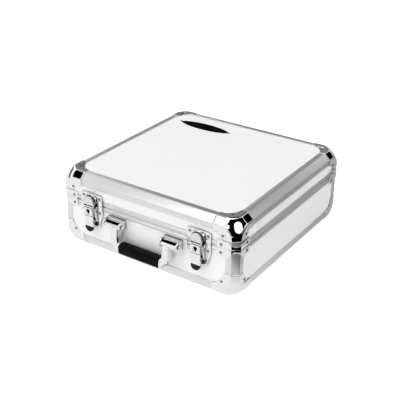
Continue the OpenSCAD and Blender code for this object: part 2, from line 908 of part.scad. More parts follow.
// The plug of the lock, with its keyway and a cam behind the lever's face
module lock_cylinder(s) {
    color("gray") at_latch(s) translate([0, -lock_drop, 0]) difference() {
        union() {
            translate([0, 0, pivot_out - 1]) cylinder(r = lock_r, h = lever_out - pivot_out + 1.4,
                $fn = 48);
            translate([-2, -lock_r - 0.6, pivot_out - 2.6]) cube([4, lock_r + 3.6, 1.7]);
        }
        translate([0, 0, lever_out - 3]) linear_extrude(6) keyhole();
    }
}

module latch_pivot_pins() {
    color("silver") for (s = [-1, 1]) at_latch(s)
        cross_pin(pivot_out, -pivot_drop, latch_pin_r, -lever_w / 2, lever_w / 2);
}

// ---- handle ----

bracket_back = 1.2;
hub_half = bracket_w / 2 - cheek_t - 0.3;

// Side view of a bracket's cheek, X out of the front and Y up
module cheek_outline() {
    translate([-skin_t, cheek_z - cheek_r]) square([handle_out + skin_t, 2 * cheek_r]);
    translate([handle_out, cheek_z]) circle(r = cheek_r, $fn = 48);
}

module handle_bracket(s) {
    mid = handle_x + s * bracket_x;
    half = bracket_w / 2;
    color("gainsboro") difference() {
        union() {
            for (x0 = [mid - half, mid + half - cheek_t])
                across_front(x0, x0 + cheek_t) cheek_outline();
            across_front(mid - half, mid + half) {
                translate([-skin_t, cheek_z - cheek_r - 2])
                    square([bracket_back + skin_t, 2 * cheek_r + 2]);
                translate([-skin_t, cheek_z + cheek_r - 2]) square([skin_t + 8.5, 2]);
            }
        }
        across_front(mid - big, mid + big) translate([handle_out, handle_z])
            circle(r = handle_pin_r + running / 2, $fn = 40);
        bracket_rivets(true);
    }
}

module handle_pins() {
    color("silver") for (s = [-1, 1]) {
        mid = handle_x + s * bracket_x;
        half = bracket_w / 2;
        across_front(mid - half - 0.1, mid + half + 0.1)
            translate([handle_out, handle_z]) circle(r = handle_pin_r, $fn = 40);
        for (x0 = [mid - half - 3, mid + half])
            across_front(x0 + 0.05 * sign(x0 - mid), x0 + 0.05 * sign(x0 - mid) + 3)
                translate([handle_out, handle_z]) circle(r = handle_pin_r + 1.3, $fn = 40);
    }
}

// Front view of the right arm, X from the handle's middle and Y up: a post that turns into the grip
module arm_front() {
    inner = arm_x - arm_w;
    turn_r = 17;
    low = grip_z - grip_r;
    fillet_z = grip_z + grip_r + inner - arm_start;
    difference() {
        union() {
            translate([inner, grip_z]) square([arm_w, handle_z + cheek_r - grip_z]);
            translate([arm_start, low]) square([arm_x - arm_start, fillet_z - low]);
        }
        translate([arm_start, fillet_z]) circle(r = inner - arm_start, $fn = 48);
        translate([arm_x - turn_r, low - eps]) difference() {
            square([turn_r + eps, turn_r]);
            translate([0, turn_r]) circle(r = turn_r, $fn = 64);
        }
    }
}

// Side view of an arm, X out of the front and Y up
module arm_side() {
    translate([handle_out, handle_z]) circle(r = hub_r, $fn = 48);
    translate([handle_out - hub_r, grip_z]) square([2 * hub_r, arm_l]);
    translate([grip_out - arm_r, grip_z]) square([2 * arm_r, arm_l - hub_r - 3]);
    translate([grip_out, grip_z]) circle(r = grip_r, $fn = 64);
}

module handle_arm(s) {
    mid = bracket_x;
    color("gainsboro") translate([handle_x, 0, 0]) mirror([s < 0 ? 1 : 0, 0, 0]) difference() {
        union() {
            intersection() {
                across_front(0, big) arm_side();
                translate([0, -case_d / 2, 0]) rotate([90, 0, 0]) linear_extrude(big) arm_front();
            }
            across_front(mid - hub_half, mid + hub_half)
                translate([handle_out, handle_z]) circle(r = hub_r, $fn = 48);
        }
        across_front(0, big) translate([handle_out, handle_z])
            circle(r = handle_pin_r + running, $fn = 40);
        across_front(0, arm_start + 8) translate([grip_out, grip_z])
            circle(r = core_r + running, $fn = 40);
    }
}

module grip_ring(x0, x1, r, hole) {
    across_front(x0, x1) translate([grip_out, grip_z]) difference() {
        circle(r = r, $fn = 64);
        circle(r = hole, $fn = 40);
    }
}

module handle_grip() {
    color("#181818") grip_ring(handle_x - grip_l / 2, handle_x + grip_l / 2, grip_r,
        core_r + running);
}

module handle_collars() {
    color("gainsboro") translate([handle_x, 0, 0]) both_x()
        grip_ring(collar_in + 0.05, arm_start - 0.05, grip_r + 0.6, core_r + running);
}

module handle_core() {
    color("silver") across_front(handle_x - arm_start - 7.5, handle_x + arm_start + 7.5)
        translate([grip_out, grip_z]) circle(r = core_r, $fn = 40);
}

// ---- hinges ----

leaf_seat = bead_out + 0.1;
leaf_face = leaf_seat + leaf_t;

// Side view of a leaf above the split: X out of the rear, Y up, the pin's axis at height 0
module leaf_side(full) {
    low = full ? knuckle_r + 0.6 : 0;
    translate([leaf_seat, low]) square([leaf_t, leaf_h - low]);
}

module knuckle_side(lug) {
    translate([hinge_out, 0]) circle(r = knuckle_r, $fn = 40);
    if (lug) translate([hinge_out, -1.4]) square([stop_l, 2.8]);
}

// Extrudes a leaf's side view over x0 to x1 along the rear, up or down from the split
module across_back(x0, x1, up) {
    on_side(BACK) translate([x0, 0, split_z]) rotate([90, 0, 90]) linear_extrude(x1 - x0)
        mirror([1, 0]) scale([1, up]) children();
}

// The knuckles from first to last in twos belong to one leaf
module hinge_leaf(mid, first, up, lug) {
    left = mid - hinge_w / 2;
    difference() {
        union() {
            across_back(left, left + hinge_w, up) leaf_side(true);
            for (k = [first : 2 : knuckles - 1]) {
                x0 = left + k * knuckle_w + (k == 0 ? 0 : 0.15);
                x1 = left + (k + 1) * knuckle_w - (k == knuckles - 1 ? 0 : 0.15);
                across_back(x0, x1, up) {
                    leaf_side(false);
                    knuckle_side(lug);
                }
            }
        }
        across_back(left - 1, left + hinge_w + 1, 1) translate([hinge_out, 0])
            circle(r = hinge_pin_r + (lug ? running : running / 2), $fn = 32);
    }
}

module lid_hinge_leaves() {
    color("gainsboro") difference() {
        for (s = [-1, 1]) hinge_leaf(s * hinge_x, 1, 1, true);
        lid_fixings(true);
    }
}

module base_hinge_leaves() {
    color("gainsboro") difference() {
        for (s = [-1, 1]) hinge_leaf(s * hinge_x, 0, -1, false);
        base_fixings(true);
    }
}

module hinge_pins() {
    color("silver") for (s = [-1, 1])
        across_back(s * hinge_x - hinge_w / 2, s * hinge_x + hinge_w / 2, 1)
            translate([hinge_out, 0]) circle(r = hinge_pin_r, $fn = 32);
}

// ---- feet ----

foot_screw_r = 1.8;

module at_feet() {
    both_x() both_y() translate([case_w / 2 - foot_at, case_d / 2 - foot_at, 0])
        mirror([0, 0, 1]) children();
}

module base_feet() {
    color("#202020") at_feet() difference() {
        cylinder(r1 = foot_r, r2 = foot_r - 1, h = foot_h, $fn = 48);
        translate([0, 0, foot_h - 2.6]) cylinder(r = 4.2, h = 5, $fn = 32);
        cylinder(r = foot_screw_r + rivet_play, h = 20, center = true, $fn = 20);
    }
}

module foot_screws() {
    color("silver") at_feet() {
        translate([0, 0, -panel_t]) cylinder(r = foot_screw_r, h = panel_t + foot_h - 2.6, $fn = 20);
        translate([0, 0, foot_h - 2.6]) cylinder(r1 = 3.6, r2 = 2.8, h = 1.4, $fn = 28);
    }
}

lid_top_panel();
lid_wall(FRONT);  // lid_front_panel
lid_wall(RIGHT);  // lid_right_panel
lid_wall(BACK);  // lid_back_panel
lid_wall(LEFT);  // lid_left_panel
lid_edge(FRONT);  // lid_edge_front
lid_edge(RIGHT);  // lid_edge_right
lid_edge(BACK);  // lid_edge_back
lid_edge(LEFT);  // lid_edge_left
lid_rim();
lid_corner_posts();
lid_corner_caps();
lid_corner_braces();
lid_rivets();
badge_plate();
badge_pins();
lid_foam();
latch_keeper(-1);  // latch_keeper_left
latch_keeper(1);  // latch_keeper_right
lid_hinge_leaves();
base_bottom_panel();
base_wall(FRONT);  // base_front_panel
base_wall(RIGHT);  // base_right_panel
base_wall(BACK);  // base_back_panel
base_wall(LEFT);  // base_left_panel
base_edge(FRONT);  // base_edge_front
base_edge(RIGHT);  // base_edge_right
base_edge(BACK);  // base_edge_back
base_edge(LEFT);  // base_edge_left
base_rim();
base_corner_posts();
base_corner_caps();
base_corner_braces();
base_rivets();
base_feet();
foot_screws();
base_foam();
latch_plate(-1);  // latch_plate_left
latch_plate(1);  // latch_plate_right
latch_pivot_pins();
base_hinge_leaves();
hinge_pins();
handle_bracket(-1);  // handle_bracket_left
handle_bracket(1);  // handle_bracket_right
handle_pins();
handle_arm(-1);  // handle_arm_left
handle_arm(1);  // handle_arm_right
handle_grip();
handle_core();
handle_collars();
latch_lever(-1);  // latch_lever_left
latch_tip(-1);  // latch_tip_left
latch_hook(-1);  // latch_hook_left
lock_cylinder(-1);  // lock_cylinder_left
latch_lever(1);  // latch_lever_right
latch_tip(1);  // latch_tip_right
latch_hook(1);  // latch_hook_right
lock_cylinder(1);  // lock_cylinder_right
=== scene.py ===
import bpy
import bmesh
import json
import math
import numpy as np
from mathutils import Matrix, Vector


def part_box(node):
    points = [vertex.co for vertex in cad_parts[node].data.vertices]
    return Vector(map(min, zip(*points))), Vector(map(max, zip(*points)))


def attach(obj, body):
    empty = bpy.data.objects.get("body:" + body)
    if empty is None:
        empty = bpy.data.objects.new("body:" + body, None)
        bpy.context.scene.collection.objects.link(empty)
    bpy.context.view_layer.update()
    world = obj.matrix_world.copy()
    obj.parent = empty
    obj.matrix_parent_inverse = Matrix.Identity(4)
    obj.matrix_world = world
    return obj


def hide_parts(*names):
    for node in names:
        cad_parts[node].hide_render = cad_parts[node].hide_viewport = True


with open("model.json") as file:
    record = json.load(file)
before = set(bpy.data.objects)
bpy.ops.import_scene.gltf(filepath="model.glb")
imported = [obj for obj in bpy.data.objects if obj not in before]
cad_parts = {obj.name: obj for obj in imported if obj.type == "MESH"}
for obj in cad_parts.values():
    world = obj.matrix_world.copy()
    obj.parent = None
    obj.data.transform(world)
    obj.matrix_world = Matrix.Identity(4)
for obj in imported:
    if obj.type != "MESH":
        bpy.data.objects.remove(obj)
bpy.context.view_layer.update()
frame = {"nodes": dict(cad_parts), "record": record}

# %% [markdown]
# # A hard carry case, dressed
# The metal case is already built in CAD: every panel, profile, cap, rivet, latch and hinge is in
# its place. Blender only gives it its looks. Stampings get soft bends, castings get round edges,
# and every surface gets a finish. First the script reads the sizes it needs from the CAD pieces,
# so that nothing here is fitted by eye.

# %% Sizes read from the CAD pieces
MM = 0.001
shells = ("lid", "base")
sides = {"left": -1, "right": 1}


def low(node):
    """Lowest corner of a CAD node, in millimetres."""
    return np.array(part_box(node)[0]) / MM


def high(node):
    """Highest corner of a CAD node, in millimetres."""
    return np.array(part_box(node)[1]) / MM


half_w = high("base_edge_right")[0]
half_d = -low("base_edge_front")[1]
base_z = low("base_edge_front")[2]
top_z = high("lid_edge_front")[2]
split_z = (high("base_corner_posts")[2] + low("lid_corner_posts")[2]) / 2
floor_z = low("base_feet")[2]
print("half width, half depth", half_w, half_d, "heights", base_z, split_z, top_z)

# %% [markdown]
# ## The camera
# The camera looks from a little above, through a long lens, so that the edges of the
# case converge only slightly. It is placed by its position and three turns: yaw about the
# vertical, pitch up or down, and a slight roll.

# %% Camera
eye = Vector((0.7253, -1.1256, 0.7388))
yaw, pitch, roll = (math.radians(a) for a in (-33.17, -27.09, 0.87))
forward = Vector((math.sin(yaw) * math.cos(pitch), math.cos(yaw) * math.cos(pitch),
                  math.sin(pitch)))
level = Vector((math.cos(yaw), -math.sin(yaw), 0))
right = math.cos(roll) * level + math.sin(roll) * level.cross(forward)
up = right.cross(forward)
camera = bpy.data.objects.new("camera", bpy.data.cameras.new("camera"))
camera.data.sensor_width = 36
camera.data.lens = 71.33
camera.data.clip_start = 0.05
camera.matrix_world = Matrix.Translation(eye) @ Matrix((right, up, -forward)).transposed().to_4x4()
bpy.context.scene.collection.objects.link(camera)
bpy.context.scene.camera = camera
print("lens", camera.data.lens, "mm")

# %% [markdown]
# ## Node helpers
# A finish is a small graph of nodes. These helpers keep each graph readable: one adds a node and
# sets its inputs, one links two sockets, and one makes an empty material with its shader.

# %% Node helpers


def add(tree, kind, **inputs):
    """Adds a node; an input named Base_Color sets the socket called Base Color."""
    made = tree.nodes.new(kind)
    for name, value in inputs.items():
        made.inputs[name.replace("_", " ")].default_value = value
    return made


def link(tree, out, into):
    """Joins two sockets."""
    tree.links.new(out, into)


def new_material(name, **inputs):
    """An empty material with a Principled shader; returns material, tree and shader."""
    made = bpy.data.materials.new(name)
    made.use_nodes = True
    tree = made.node_tree
    tree.nodes.clear()
    shader = add(tree, "ShaderNodeBsdfPrincipled", **inputs)
    out = tree.nodes.new("ShaderNodeOutputMaterial")
    link(tree, shader.outputs["BSDF"], out.inputs["Surface"])
    return made, tree, shader


def position(tree, stretch):
    """Object coordinates in metres, squeezed along each axis by the three numbers of stretch."""
    coords = tree.nodes.new("ShaderNodeTexCoord")
    mapping = add(tree, "ShaderNodeMapping", Scale=stretch)
    link(tree, coords.outputs["Object"], mapping.inputs["Vector"])
    return mapping.outputs["Vector"]


def noise(tree, vector, scale, detail=3.0, roughness=0.5):
    """A noise texture read at vector; returns its value socket."""
    made = add(tree, "ShaderNodeTexNoise", Scale=scale, Detail=detail, Roughness=roughness)
    link(tree, vector, made.inputs["Vector"])
    return made.outputs["Fac"]


def ramp(tree, value, stops):
    """Maps a value to colours; stops are pairs of a value and a grey or RGB."""
    made = tree.nodes.new("ShaderNodeValToRGB")
    steps = made.color_ramp.elements
    while len(steps) < len(stops):
        steps.new(0.5)
    for step, (at, colour) in zip(steps, stops):
        rgb = (colour,) * 3 if isinstance(colour, (int, float)) else colour
        step.position = at
        step.color = (*rgb, 1)
    link(tree, value, made.inputs["Fac"])
    return made.outputs["Color"]


def bump(tree, shader, height, strength, distance):
    """Raises the surface by a height socket; distance is the full height in metres."""
    made = add(tree, "ShaderNodeBump", Strength=strength, Distance=distance)
    link(tree, height, made.inputs["Height"])
    link(tree, made.outputs["Normal"], shader.inputs["Normal"])
    return made


print("helpers ready")

# %% [markdown]
# ## White laminate
# The panels are plywood faced with a hard white plastic laminate. It is nearly smooth, with a
# fine leather-like pebble that breaks up reflections. A cell pattern drives a very shallow
# bump, and two wider noises change the white and the gloss a little, where hands and dust have
# been.

# %% White laminate
laminate, tree, shader = new_material("white_laminate", Base_Color=(0.94, 0.94, 0.935, 1),
                                      Roughness=0.38, IOR=1.48)
here = position(tree, (1, 1, 1))
tone = noise(tree, here, 9, 4)
link(tree, ramp(tree, tone, [(0.3, (0.93, 0.931, 0.929)), (0.7, (0.945, 0.945, 0.942))]),
     shader.inputs["Base Color"])
link(tree, ramp(tree, noise(tree, here, 30, 5), [(0.3, 0.3), (0.7, 0.46)]),
     shader.inputs["Roughness"])
pebble = add(tree, "ShaderNodeTexVoronoi", Scale=900)
link(tree, here, pebble.inputs["Vector"])
bump(tree, shader, pebble.outputs["Distance"], 0.25, 0.00006)
print("laminate:", len(tree.nodes), "nodes")

# %% [markdown]
# ## Brushed aluminium
# Extruded profiles are brushed along their length and anodised. The brushing is a noise that is
# squeezed along the profile, so that its grains become long streaks. The streaks change the
# roughness and the height, so reflections spread across them. Profiles lie along three
# different axes, so a function makes one finish for each direction.

# %% Brushed aluminium


def brushed(name, axis, stretch=0.012):
    """Aluminium brushed along one axis: 0 is X, 1 is Y and 2 is Z. The noise changes stretch
    times as fast along that axis as across it."""
    made, tree, shader = new_material(name, Base_Color=(0.72, 0.725, 0.73, 1), Metallic=1.0,
                                      Roughness=0.4)
    squeeze = [1.0, 1.0, 1.0]
    squeeze[axis] = stretch
    streaks = noise(tree, position(tree, squeeze), 1900, 2)
    bands = noise(tree, position(tree, squeeze), 240, 3)
    link(tree, ramp(tree, bands, [(0.25, (0.69, 0.695, 0.705)), (0.75, (0.755, 0.76, 0.765))]),
         shader.inputs["Base Color"])
    link(tree, ramp(tree, streaks, [(0.3, 0.34), (0.7, 0.46)]), shader.inputs["Roughness"])
    bump(tree, shader, streaks, 0.2, 0.00002)
    return made


aluminium_x = brushed("brushed_aluminium_x", 0)
aluminium_y = brushed("brushed_aluminium_y", 1)
aluminium_z = brushed("brushed_aluminium_z", 2)
print("aluminium along X, Y and Z")

# %% [markdown]
# ## Chrome and steel
# Chromed stampings mirror the studio, but never perfectly: the sheet under the plating waves a
# little, and handling leaves a haze. A slow noise bends the reflection and a finer one clouds
# it. Rivets, pins and screws are plain darker metal with a duller surface. On the latches, the
# handle's pins and brackets, and the rivets, shade is painted into the colour: inner corners are
# darkened, which is what draws their outlines.

# %% Chrome and steel


def bright_metal(name, colour, rough, wave, haze, crevice=0.0, painted_shade=0.04):
    """Polished metal: colour, its roughness, how far its surface waves in metres, and how much
    rougher the haze makes it. crevice is the reach in metres over which painted shade darkens
    inner corners, down to the last argument times the colour."""
    made, tree, shader = new_material(name, Base_Color=(*colour, 1), Metallic=1.0,
                                      Roughness=rough)
    here = position(tree, (1, 1, 1))
    cloud = noise(tree, here, 70, 5, 0.6)
    link(tree, ramp(tree, cloud, [(0.35, rough), (0.8, rough + haze)]),
         shader.inputs["Roughness"])
    bump(tree, shader, noise(tree, here, 55, 1), 0.3, wave)
    if crevice:
        # painted shade: ambient occlusion darkens the base colour in inner corners
        shelter = add(tree, "ShaderNodeAmbientOcclusion", Distance=crevice)
        shelter.samples = 8
        shaded_colour = tuple(c * painted_shade for c in colour)
        link(tree, ramp(tree, shelter.outputs["AO"], [(0.35, shaded_colour), (0.8, colour)]),
             shader.inputs["Base Color"])
    return made


chrome = bright_metal("chrome", (0.8, 0.805, 0.81), 0.04, 0.0002, 0.03)
# latches, hooks and rivets get painted shade in their inner corners
latch_chrome = bright_metal("latch_chrome", (0.8, 0.805, 0.81), 0.05, 0.0002, 0.04, 0.009)
hook_chrome = bright_metal("hook_chrome", (0.7, 0.705, 0.71), 0.05, 0.0002, 0.04, 0.03)
rivet_metal = bright_metal("rivet_steel", (0.26, 0.26, 0.265), 0.1, 0.0001, 0.05, 0.005)
steel = bright_metal("steel", (0.62, 0.62, 0.625), 0.25, 0.0001, 0.15)
print("five bright metals")

# %% [markdown]
# ## Plastics, rubber and foam
# The grip and the latch tips are moulded black plastic with a fine spark texture, and the badge
# is a smoother black. The feet are dull rubber, and the lining is open-cell foam, whose pores
# are a cell pattern pressed deep into the surface.

# %% Plastics, rubber and foam


def moulded(name, colour, rough, grain_scale, grain_height, gloss=0.5):
    """Moulded plastic or rubber with an even grain, grain_height metres deep. gloss is the
    strength of its highlights."""
    made, tree, shader = new_material(name, Base_Color=(*colour, 1), Roughness=rough,
                                      Specular_IOR_Level=gloss)
    here = position(tree, (1, 1, 1))
    lighter = tuple(c * 1.5 + 0.002 for c in colour)
    link(tree, ramp(tree, noise(tree, here, 40, 4), [(0.3, colour), (0.75, lighter)]),
         shader.inputs["Base Color"])
    link(tree, ramp(tree, noise(tree, here, 120, 3), [(0.3, rough - 0.05), (0.7, rough + 0.08)]),
         shader.inputs["Roughness"])
    bump(tree, shader, noise(tree, here, grain_scale, 2), 0.4, grain_height)
    return made


grip_black = moulded("grip_black", (0.002, 0.002, 0.0022), 0.3, 2600, 0.00008, gloss=0.05)
tip_black = moulded("tip_black", (0.006, 0.006, 0.006), 0.35, 3000, 0.00006, gloss=0.12)
badge_black = moulded("badge_black", (0.003, 0.003, 0.0032), 0.12, 900, 0.00002, gloss=0.0)
rubber = moulded("foot_rubber", (0.02, 0.02, 0.02), 0.75, 1800, 0.0002)

foam, tree, shader = new_material("lining_foam", Base_Color=(0.05, 0.05, 0.055, 1),
                                  Roughness=0.95)
cells = add(tree, "ShaderNodeTexVoronoi", Scale=1100)
link(tree, position(tree, (1, 1, 1)), cells.inputs["Vector"])
link(tree, ramp(tree, cells.outputs["Distance"], [(0.1, 0.018), (0.7, 0.075)]),
     shader.inputs["Base Color"])
bump(tree, shader, cells.outputs["Distance"], 0.8, 0.0006)
print("plastics, rubber and foam")

# %% [markdown]
# ## Putting surfaces into the scene
# Every new piece is worked out as arrays of points. A sheet of points in rows and columns
# becomes a mesh of four-sided faces; several sheets can share one mesh. The object stays at the
# origin, because its place is in its points, and it rides on the CAD body that carries it.

# %% Surface helpers


def sheet_faces(rows, columns, wrap_rows, wrap_columns, first=0):
    """Corner numbers of the faces of a grid of points, numbered row by row from first."""
    r = np.arange(rows if wrap_rows else rows - 1)
    c = np.arange(columns if wrap_columns else columns - 1)
    r, c = np.meshgrid(r, c, indexing="ij")
    r2, c2 = (r + 1) % rows, (c + 1) % columns
    quads = np.stack([r * columns + c, r * columns + c2, r2 * columns + c2, r2 * columns + c], -1)
    return quads.reshape(-1, 4) + first


def make_piece(name, sheets, body, material, stands_for=(), smooth=True):
    """One object from sheets, each (points in mm, wrap rows, wrap columns), riding on body."""
    points, faces, first = [], [], 0
    for grid, wrap_rows, wrap_columns in sheets:
        rows, columns = grid.shape[:2]
        points.append(grid.reshape(-1, 3))
        faces.append(sheet_faces(rows, columns, wrap_rows, wrap_columns, first))
        first += rows * columns
    mesh = bpy.data.meshes.new(name)
    mesh.from_pydata(np.concatenate(points) * MM, [], np.concatenate(faces))
    built = bmesh.new()
    built.from_mesh(mesh)
    bmesh.ops.remove_doubles(built, verts=built.verts, dist=2e-6)
    bmesh.ops.recalc_face_normals(built, faces=built.faces)
    built.to_mesh(mesh)
    built.free()
    return place(bpy.data.objects.new(name, mesh), body, material, stands_for, smooth)


def place(piece, body, material, stands_for=(), smooth=True):
    """Links a piece, gives it its material, and lets it ride and stand for its CAD nodes."""
    bpy.context.scene.collection.objects.link(piece)
    piece.data.materials.clear()
    piece.data.materials.append(material)
    piece.data.polygons.foreach_set("use_smooth", [smooth] * len(piece.data.polygons))
    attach(piece, body)
    if stands_for:
        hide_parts(*stands_for)
    return piece


body_of = {n: b for b, nodes in frame["record"]["behaviour"]["bodies"].items() for n in nodes}

# %% [markdown]
# ## Breaking the sharp edges
# CAD edges are perfectly sharp, and no real edge is: a pressed or extruded edge has a small
# radius, and that radius is what catches the light. Pieces whose CAD shape is otherwise right
# are copied, their loose triangles merged into flat faces, and their edges rounded with a Bevel
# of a few tenths of a millimetre.

# %% Softened copies of CAD pieces


def softened(node, material, radius, steps=2, angle=28):
    """A copy of a CAD node with edges rounded to radius (mm) where faces meet above angle."""
    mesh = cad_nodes[node].data.copy()
    mesh.name = node + "_soft"
    built = bmesh.new()
    built.from_mesh(mesh)
    bmesh.ops.remove_doubles(built, verts=built.verts, dist=1e-6)
    bmesh.ops.dissolve_limit(built, angle_limit=math.radians(1), verts=built.verts,
                             edges=built.edges)
    built.to_mesh(mesh)
    built.free()
    piece = place(bpy.data.objects.new(node + "_soft", mesh), body_of[node], material, (node,))
    bevel = piece.modifiers.new("edges", "BEVEL")
    bevel.width = radius * MM
    bevel.segments = steps
    bevel.limit_method = "ANGLE"
    bevel.angle_limit = math.radians(angle)
    bevel.harden_normals = True
    return piece


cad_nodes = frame["nodes"]
edge_metal = {"front": aluminium_x, "back": aluminium_x, "left": aluminium_y,
              "right": aluminium_y}
for side, metal in edge_metal.items():
    for shell in shells:
        softened(f"{shell}_edge_{side}", metal, 0.45)
for shell in shells:
    softened(f"{shell}_corner_posts", aluminium_z, 0.45)
    softened(f"{shell}_corner_braces", chrome, 0.3)
    softened(f"{shell}_hinge_leaves", chrome, 0.3)
print("profiles, posts, braces and hinges softened")

# %% [markdown]
# ## Corner caps
# Each corner is covered by a chromed stamping with three legs. Its outline is concave between
# the legs, its middle is a flat facet rounded into the three chamfers, and it steps down from
# the raised profiles to the lower panels. The shape is found by casting rays: the cap's smooth
# envelope is a blend of planes, and each point of a round grid is pushed out from inside the
# case until it meets that envelope. The sizes are in millimetres: the profiles' chamfer and
# flange and the depth of the facet, the cap's sheet, the step down to the panels, the legs, the
# ball and the round cuts between the legs.

# %% Envelope of a cap
chamfer, flange, facet = 11.0, 10.5, 35.0
cap_t, panel_step, cap_leg = 1.0, -0.2, 48.0
step_room, step_w = 0.6, 1.4
chamfer_blend, ball_blend = 1.1, 1.6
ball_r, ball_half = 62.0, math.radians(13.5)
arc_r, arc_at = 30.0, 52.0


def blend_max(a, b, radius):
    """The larger of a and b, rounded where they are within radius of each other."""
    near = np.maximum(radius - np.abs(a - b), 0) / radius
    return np.maximum(a, b) + near * near * radius / 4


def envelope(p, flange_z):
    """How far points lie outside a cap's surface; p counts inwards as negative from a corner
    whose faces look along +X, +Y and +Z. Faces step down smoothly where the panels begin, the
    edges are chamfered planes, and the middle is a ball that bulges a little from the facet."""
    x, y, z = p[..., 0], p[..., 1], p[..., 2]
    edge = chamfer + flange + cap_t + step_room
    edge_z = chamfer + flange_z + cap_t + step_room

    def face(a, b, end_a, end_b):
        t = np.clip(np.maximum(a + end_a, b + end_b) / step_w + 0.5, 0, 1)
        return panel_step + (cap_t - panel_step) * t * t * (3 - 2 * t)

    far = x - face(y, z, edge, edge_z)
    far = np.maximum(far, y - face(x, z, edge, edge_z))
    far = np.maximum(far, z - face(x, y, edge_z, edge_z))
    for pair in (x + y, y + z, x + z):
        far = blend_max(far, (pair + chamfer) / math.sqrt(2) - cap_t, chamfer_blend)
    ball_middle = -(facet / math.sqrt(3) + ball_r * math.cos(ball_half)) / math.sqrt(3)
    ball = np.linalg.norm(p - ball_middle, axis=-1) - ball_r - cap_t
    return blend_max(far, ball, ball_blend)


facet_mid = np.full(3, -facet / 3)
print("facet's middle lies", round(float(envelope(facet_mid, flange)), 2), "mm outside")

# %% [markdown]
# The outline runs round six stretches: across the end of a leg, then along the concave arc on
# the next face, three times over. Every point of it is joined by a straight line to the middle
# of the facet, and the rays go from a point inside the case through the points of those lines.

# %% Outline and rays


def arc_inset(centre, reach):
    """Distance from the edge at which a round cut meets a line reach away from the corner."""
    return centre - math.sqrt(arc_r ** 2 - min(centre - reach, arc_r) ** 2)


def arc_points(centre_a, centre_b, reach_a, reach_b, count):
    """Points (a, b) along a concave cut, from the leg reaching reach_a to the one reaching
    reach_b: a circle of arc_r about (centre_a, centre_b), between two angles."""
    start = math.asin((centre_a - reach_a) / arc_r)
    end = math.pi / 2 - math.asin((centre_b - reach_b) / arc_r)
    turn = np.linspace(start, end, count, endpoint=False)
    return centre_a - arc_r * np.sin(turn), centre_b - arc_r * np.cos(turn)


def leg_end(from_inset, to_inset, count):
    """Points across a leg's end: in from one face's inset to the edge, over the chamfer, and
    out to the other face's inset. Returns the depths below the two faces."""
    path = np.array([[from_inset, 0], [chamfer, 0], [0, chamfer], [0, to_inset]])
    length = np.r_[0, np.cumsum(np.linalg.norm(np.diff(path, axis=0), axis=1))]
    at = np.linspace(0, length[-1], count, endpoint=False)
    return np.interp(at, length, path[:, 0]), np.interp(at, length, path[:, 1])


def cap_outline(leg_z, flange_z, per_part=34):
    """The closed outline of a cap, as depths inwards from its three faces."""
    at_z = arc_at + flange_z - flange
    inset_flat = arc_inset(arc_at, cap_leg)
    inset_post = arc_at - math.sqrt(arc_r ** 2 - (at_z - leg_z) ** 2)
    inset_along = at_z - math.sqrt(arc_r ** 2 - (arc_at - cap_leg) ** 2)
    parts = []
    # the leg along X ends at cap_leg: from the flat face over to the Y face
    y, z = leg_end(inset_flat, inset_along, per_part)
    parts.append(np.stack([np.full_like(y, cap_leg), y, z], -1))
    # the cut on the Y face, from the X leg round to the post
    x, z = arc_points(arc_at, at_z, cap_leg, leg_z, per_part)
    parts.append(np.stack([x, np.zeros_like(x), z], -1))
    # the post's end, from the Y face to the X face
    x, y = leg_end(inset_post, inset_post, per_part)
    parts.append(np.stack([x, y, np.full_like(x, leg_z)], -1))
    # the cut on the X face, from the post round to the Y leg
    y, z = arc_points(arc_at, at_z, cap_leg, leg_z, per_part)
    parts.append(np.stack([np.zeros_like(y), y, z], -1)[::-1])
    # the leg along Y ends at cap_leg: from the X face over to the flat face
    z, x = leg_end(inset_along, inset_flat, per_part)
    parts.append(np.stack([x, np.full_like(x, cap_leg), z], -1))
    # the cut on the flat face, back to the start
    y, x = arc_points(arc_at, arc_at, cap_leg, cap_leg, per_part)
    parts.append(np.stack([x, y, np.zeros_like(x)], -1))
    return -np.concatenate(parts)


def cap_surface(leg_z, flange_z, rings=34, halvings=34, roll=0.35, roll_from=0.975):
    """A cap as a grid of rings by outline points. Each ring lies a share of the way from the
    facet's middle to the outline. Where a point's ray crosses the envelope is found by halving
    a stretch of the ray, and from the share roll_from outwards the sheet's edge rolls in."""
    outline = cap_outline(leg_z, flange_z)
    share = np.linspace(0.02, 1, rings)[:, None, None]
    target = facet_mid + (outline - facet_mid) * share
    start = np.full(3, -58.0)
    ray = target - start
    low_t, high_t = np.full(ray.shape[:2], 0.5), np.full(ray.shape[:2], 1.6)
    for _ in range(halvings):
        mid_t = (low_t + high_t) / 2
        outside = envelope(start + ray * mid_t[..., None], flange_z) > 0
        high_t = np.where(outside, mid_t, high_t)
        low_t = np.where(outside, low_t, mid_t)
    rolled = roll * np.clip((share[..., 0] - roll_from) / (1 - roll_from), 0, 1)
    grid = start + ray * (high_t - rolled / np.linalg.norm(ray, axis=-1))[..., None]
    centre = grid[:1].mean(axis=1, keepdims=True)
    return np.concatenate([np.repeat(centre, grid.shape[1], axis=1), grid])


def at_corners(grid, z, flip):
    """The four copies of a corner grid, mirrored about the middle planes and stood at height z;
    flip turns it over for the bottom corners."""
    for sx in (-1, 1):
        for sy in (-1, 1):
            turned = grid * (sx, sy, -1 if flip else 1) + (sx * half_w, sy * half_d, z)
            yield turned, False, True


lid_post = top_z - low("lid_corner_caps")[2]
base_flange = flange + 2.3
caps = {"lid": (cap_surface(lid_post, flange), top_z, False),
        "base": (cap_surface(cap_leg, base_flange), base_z, True)}
for shell, (grid, z, flip) in caps.items():
    node = f"{shell}_corner_caps"
    piece = make_piece(node + "_pressed", list(at_corners(grid, z, flip)), shell, chrome, (node,))
    wall = piece.modifiers.new("wall", "SOLIDIFY")
    wall.thickness = 0.8 * MM
    wall.offset = -1
    print(node, len(piece.data.polygons), "faces")

# %% [markdown]
# ## Rivets
# Pop rivets with domed heads hold every cap, brace, latch and hinge. A head is a low dome turned
# about its axis. The CAD node holds all the rivets of the lid or the base as loose solids, so
# the places of the domes are read from it: every separate island of its mesh is one rivet.

# %% Rivet places


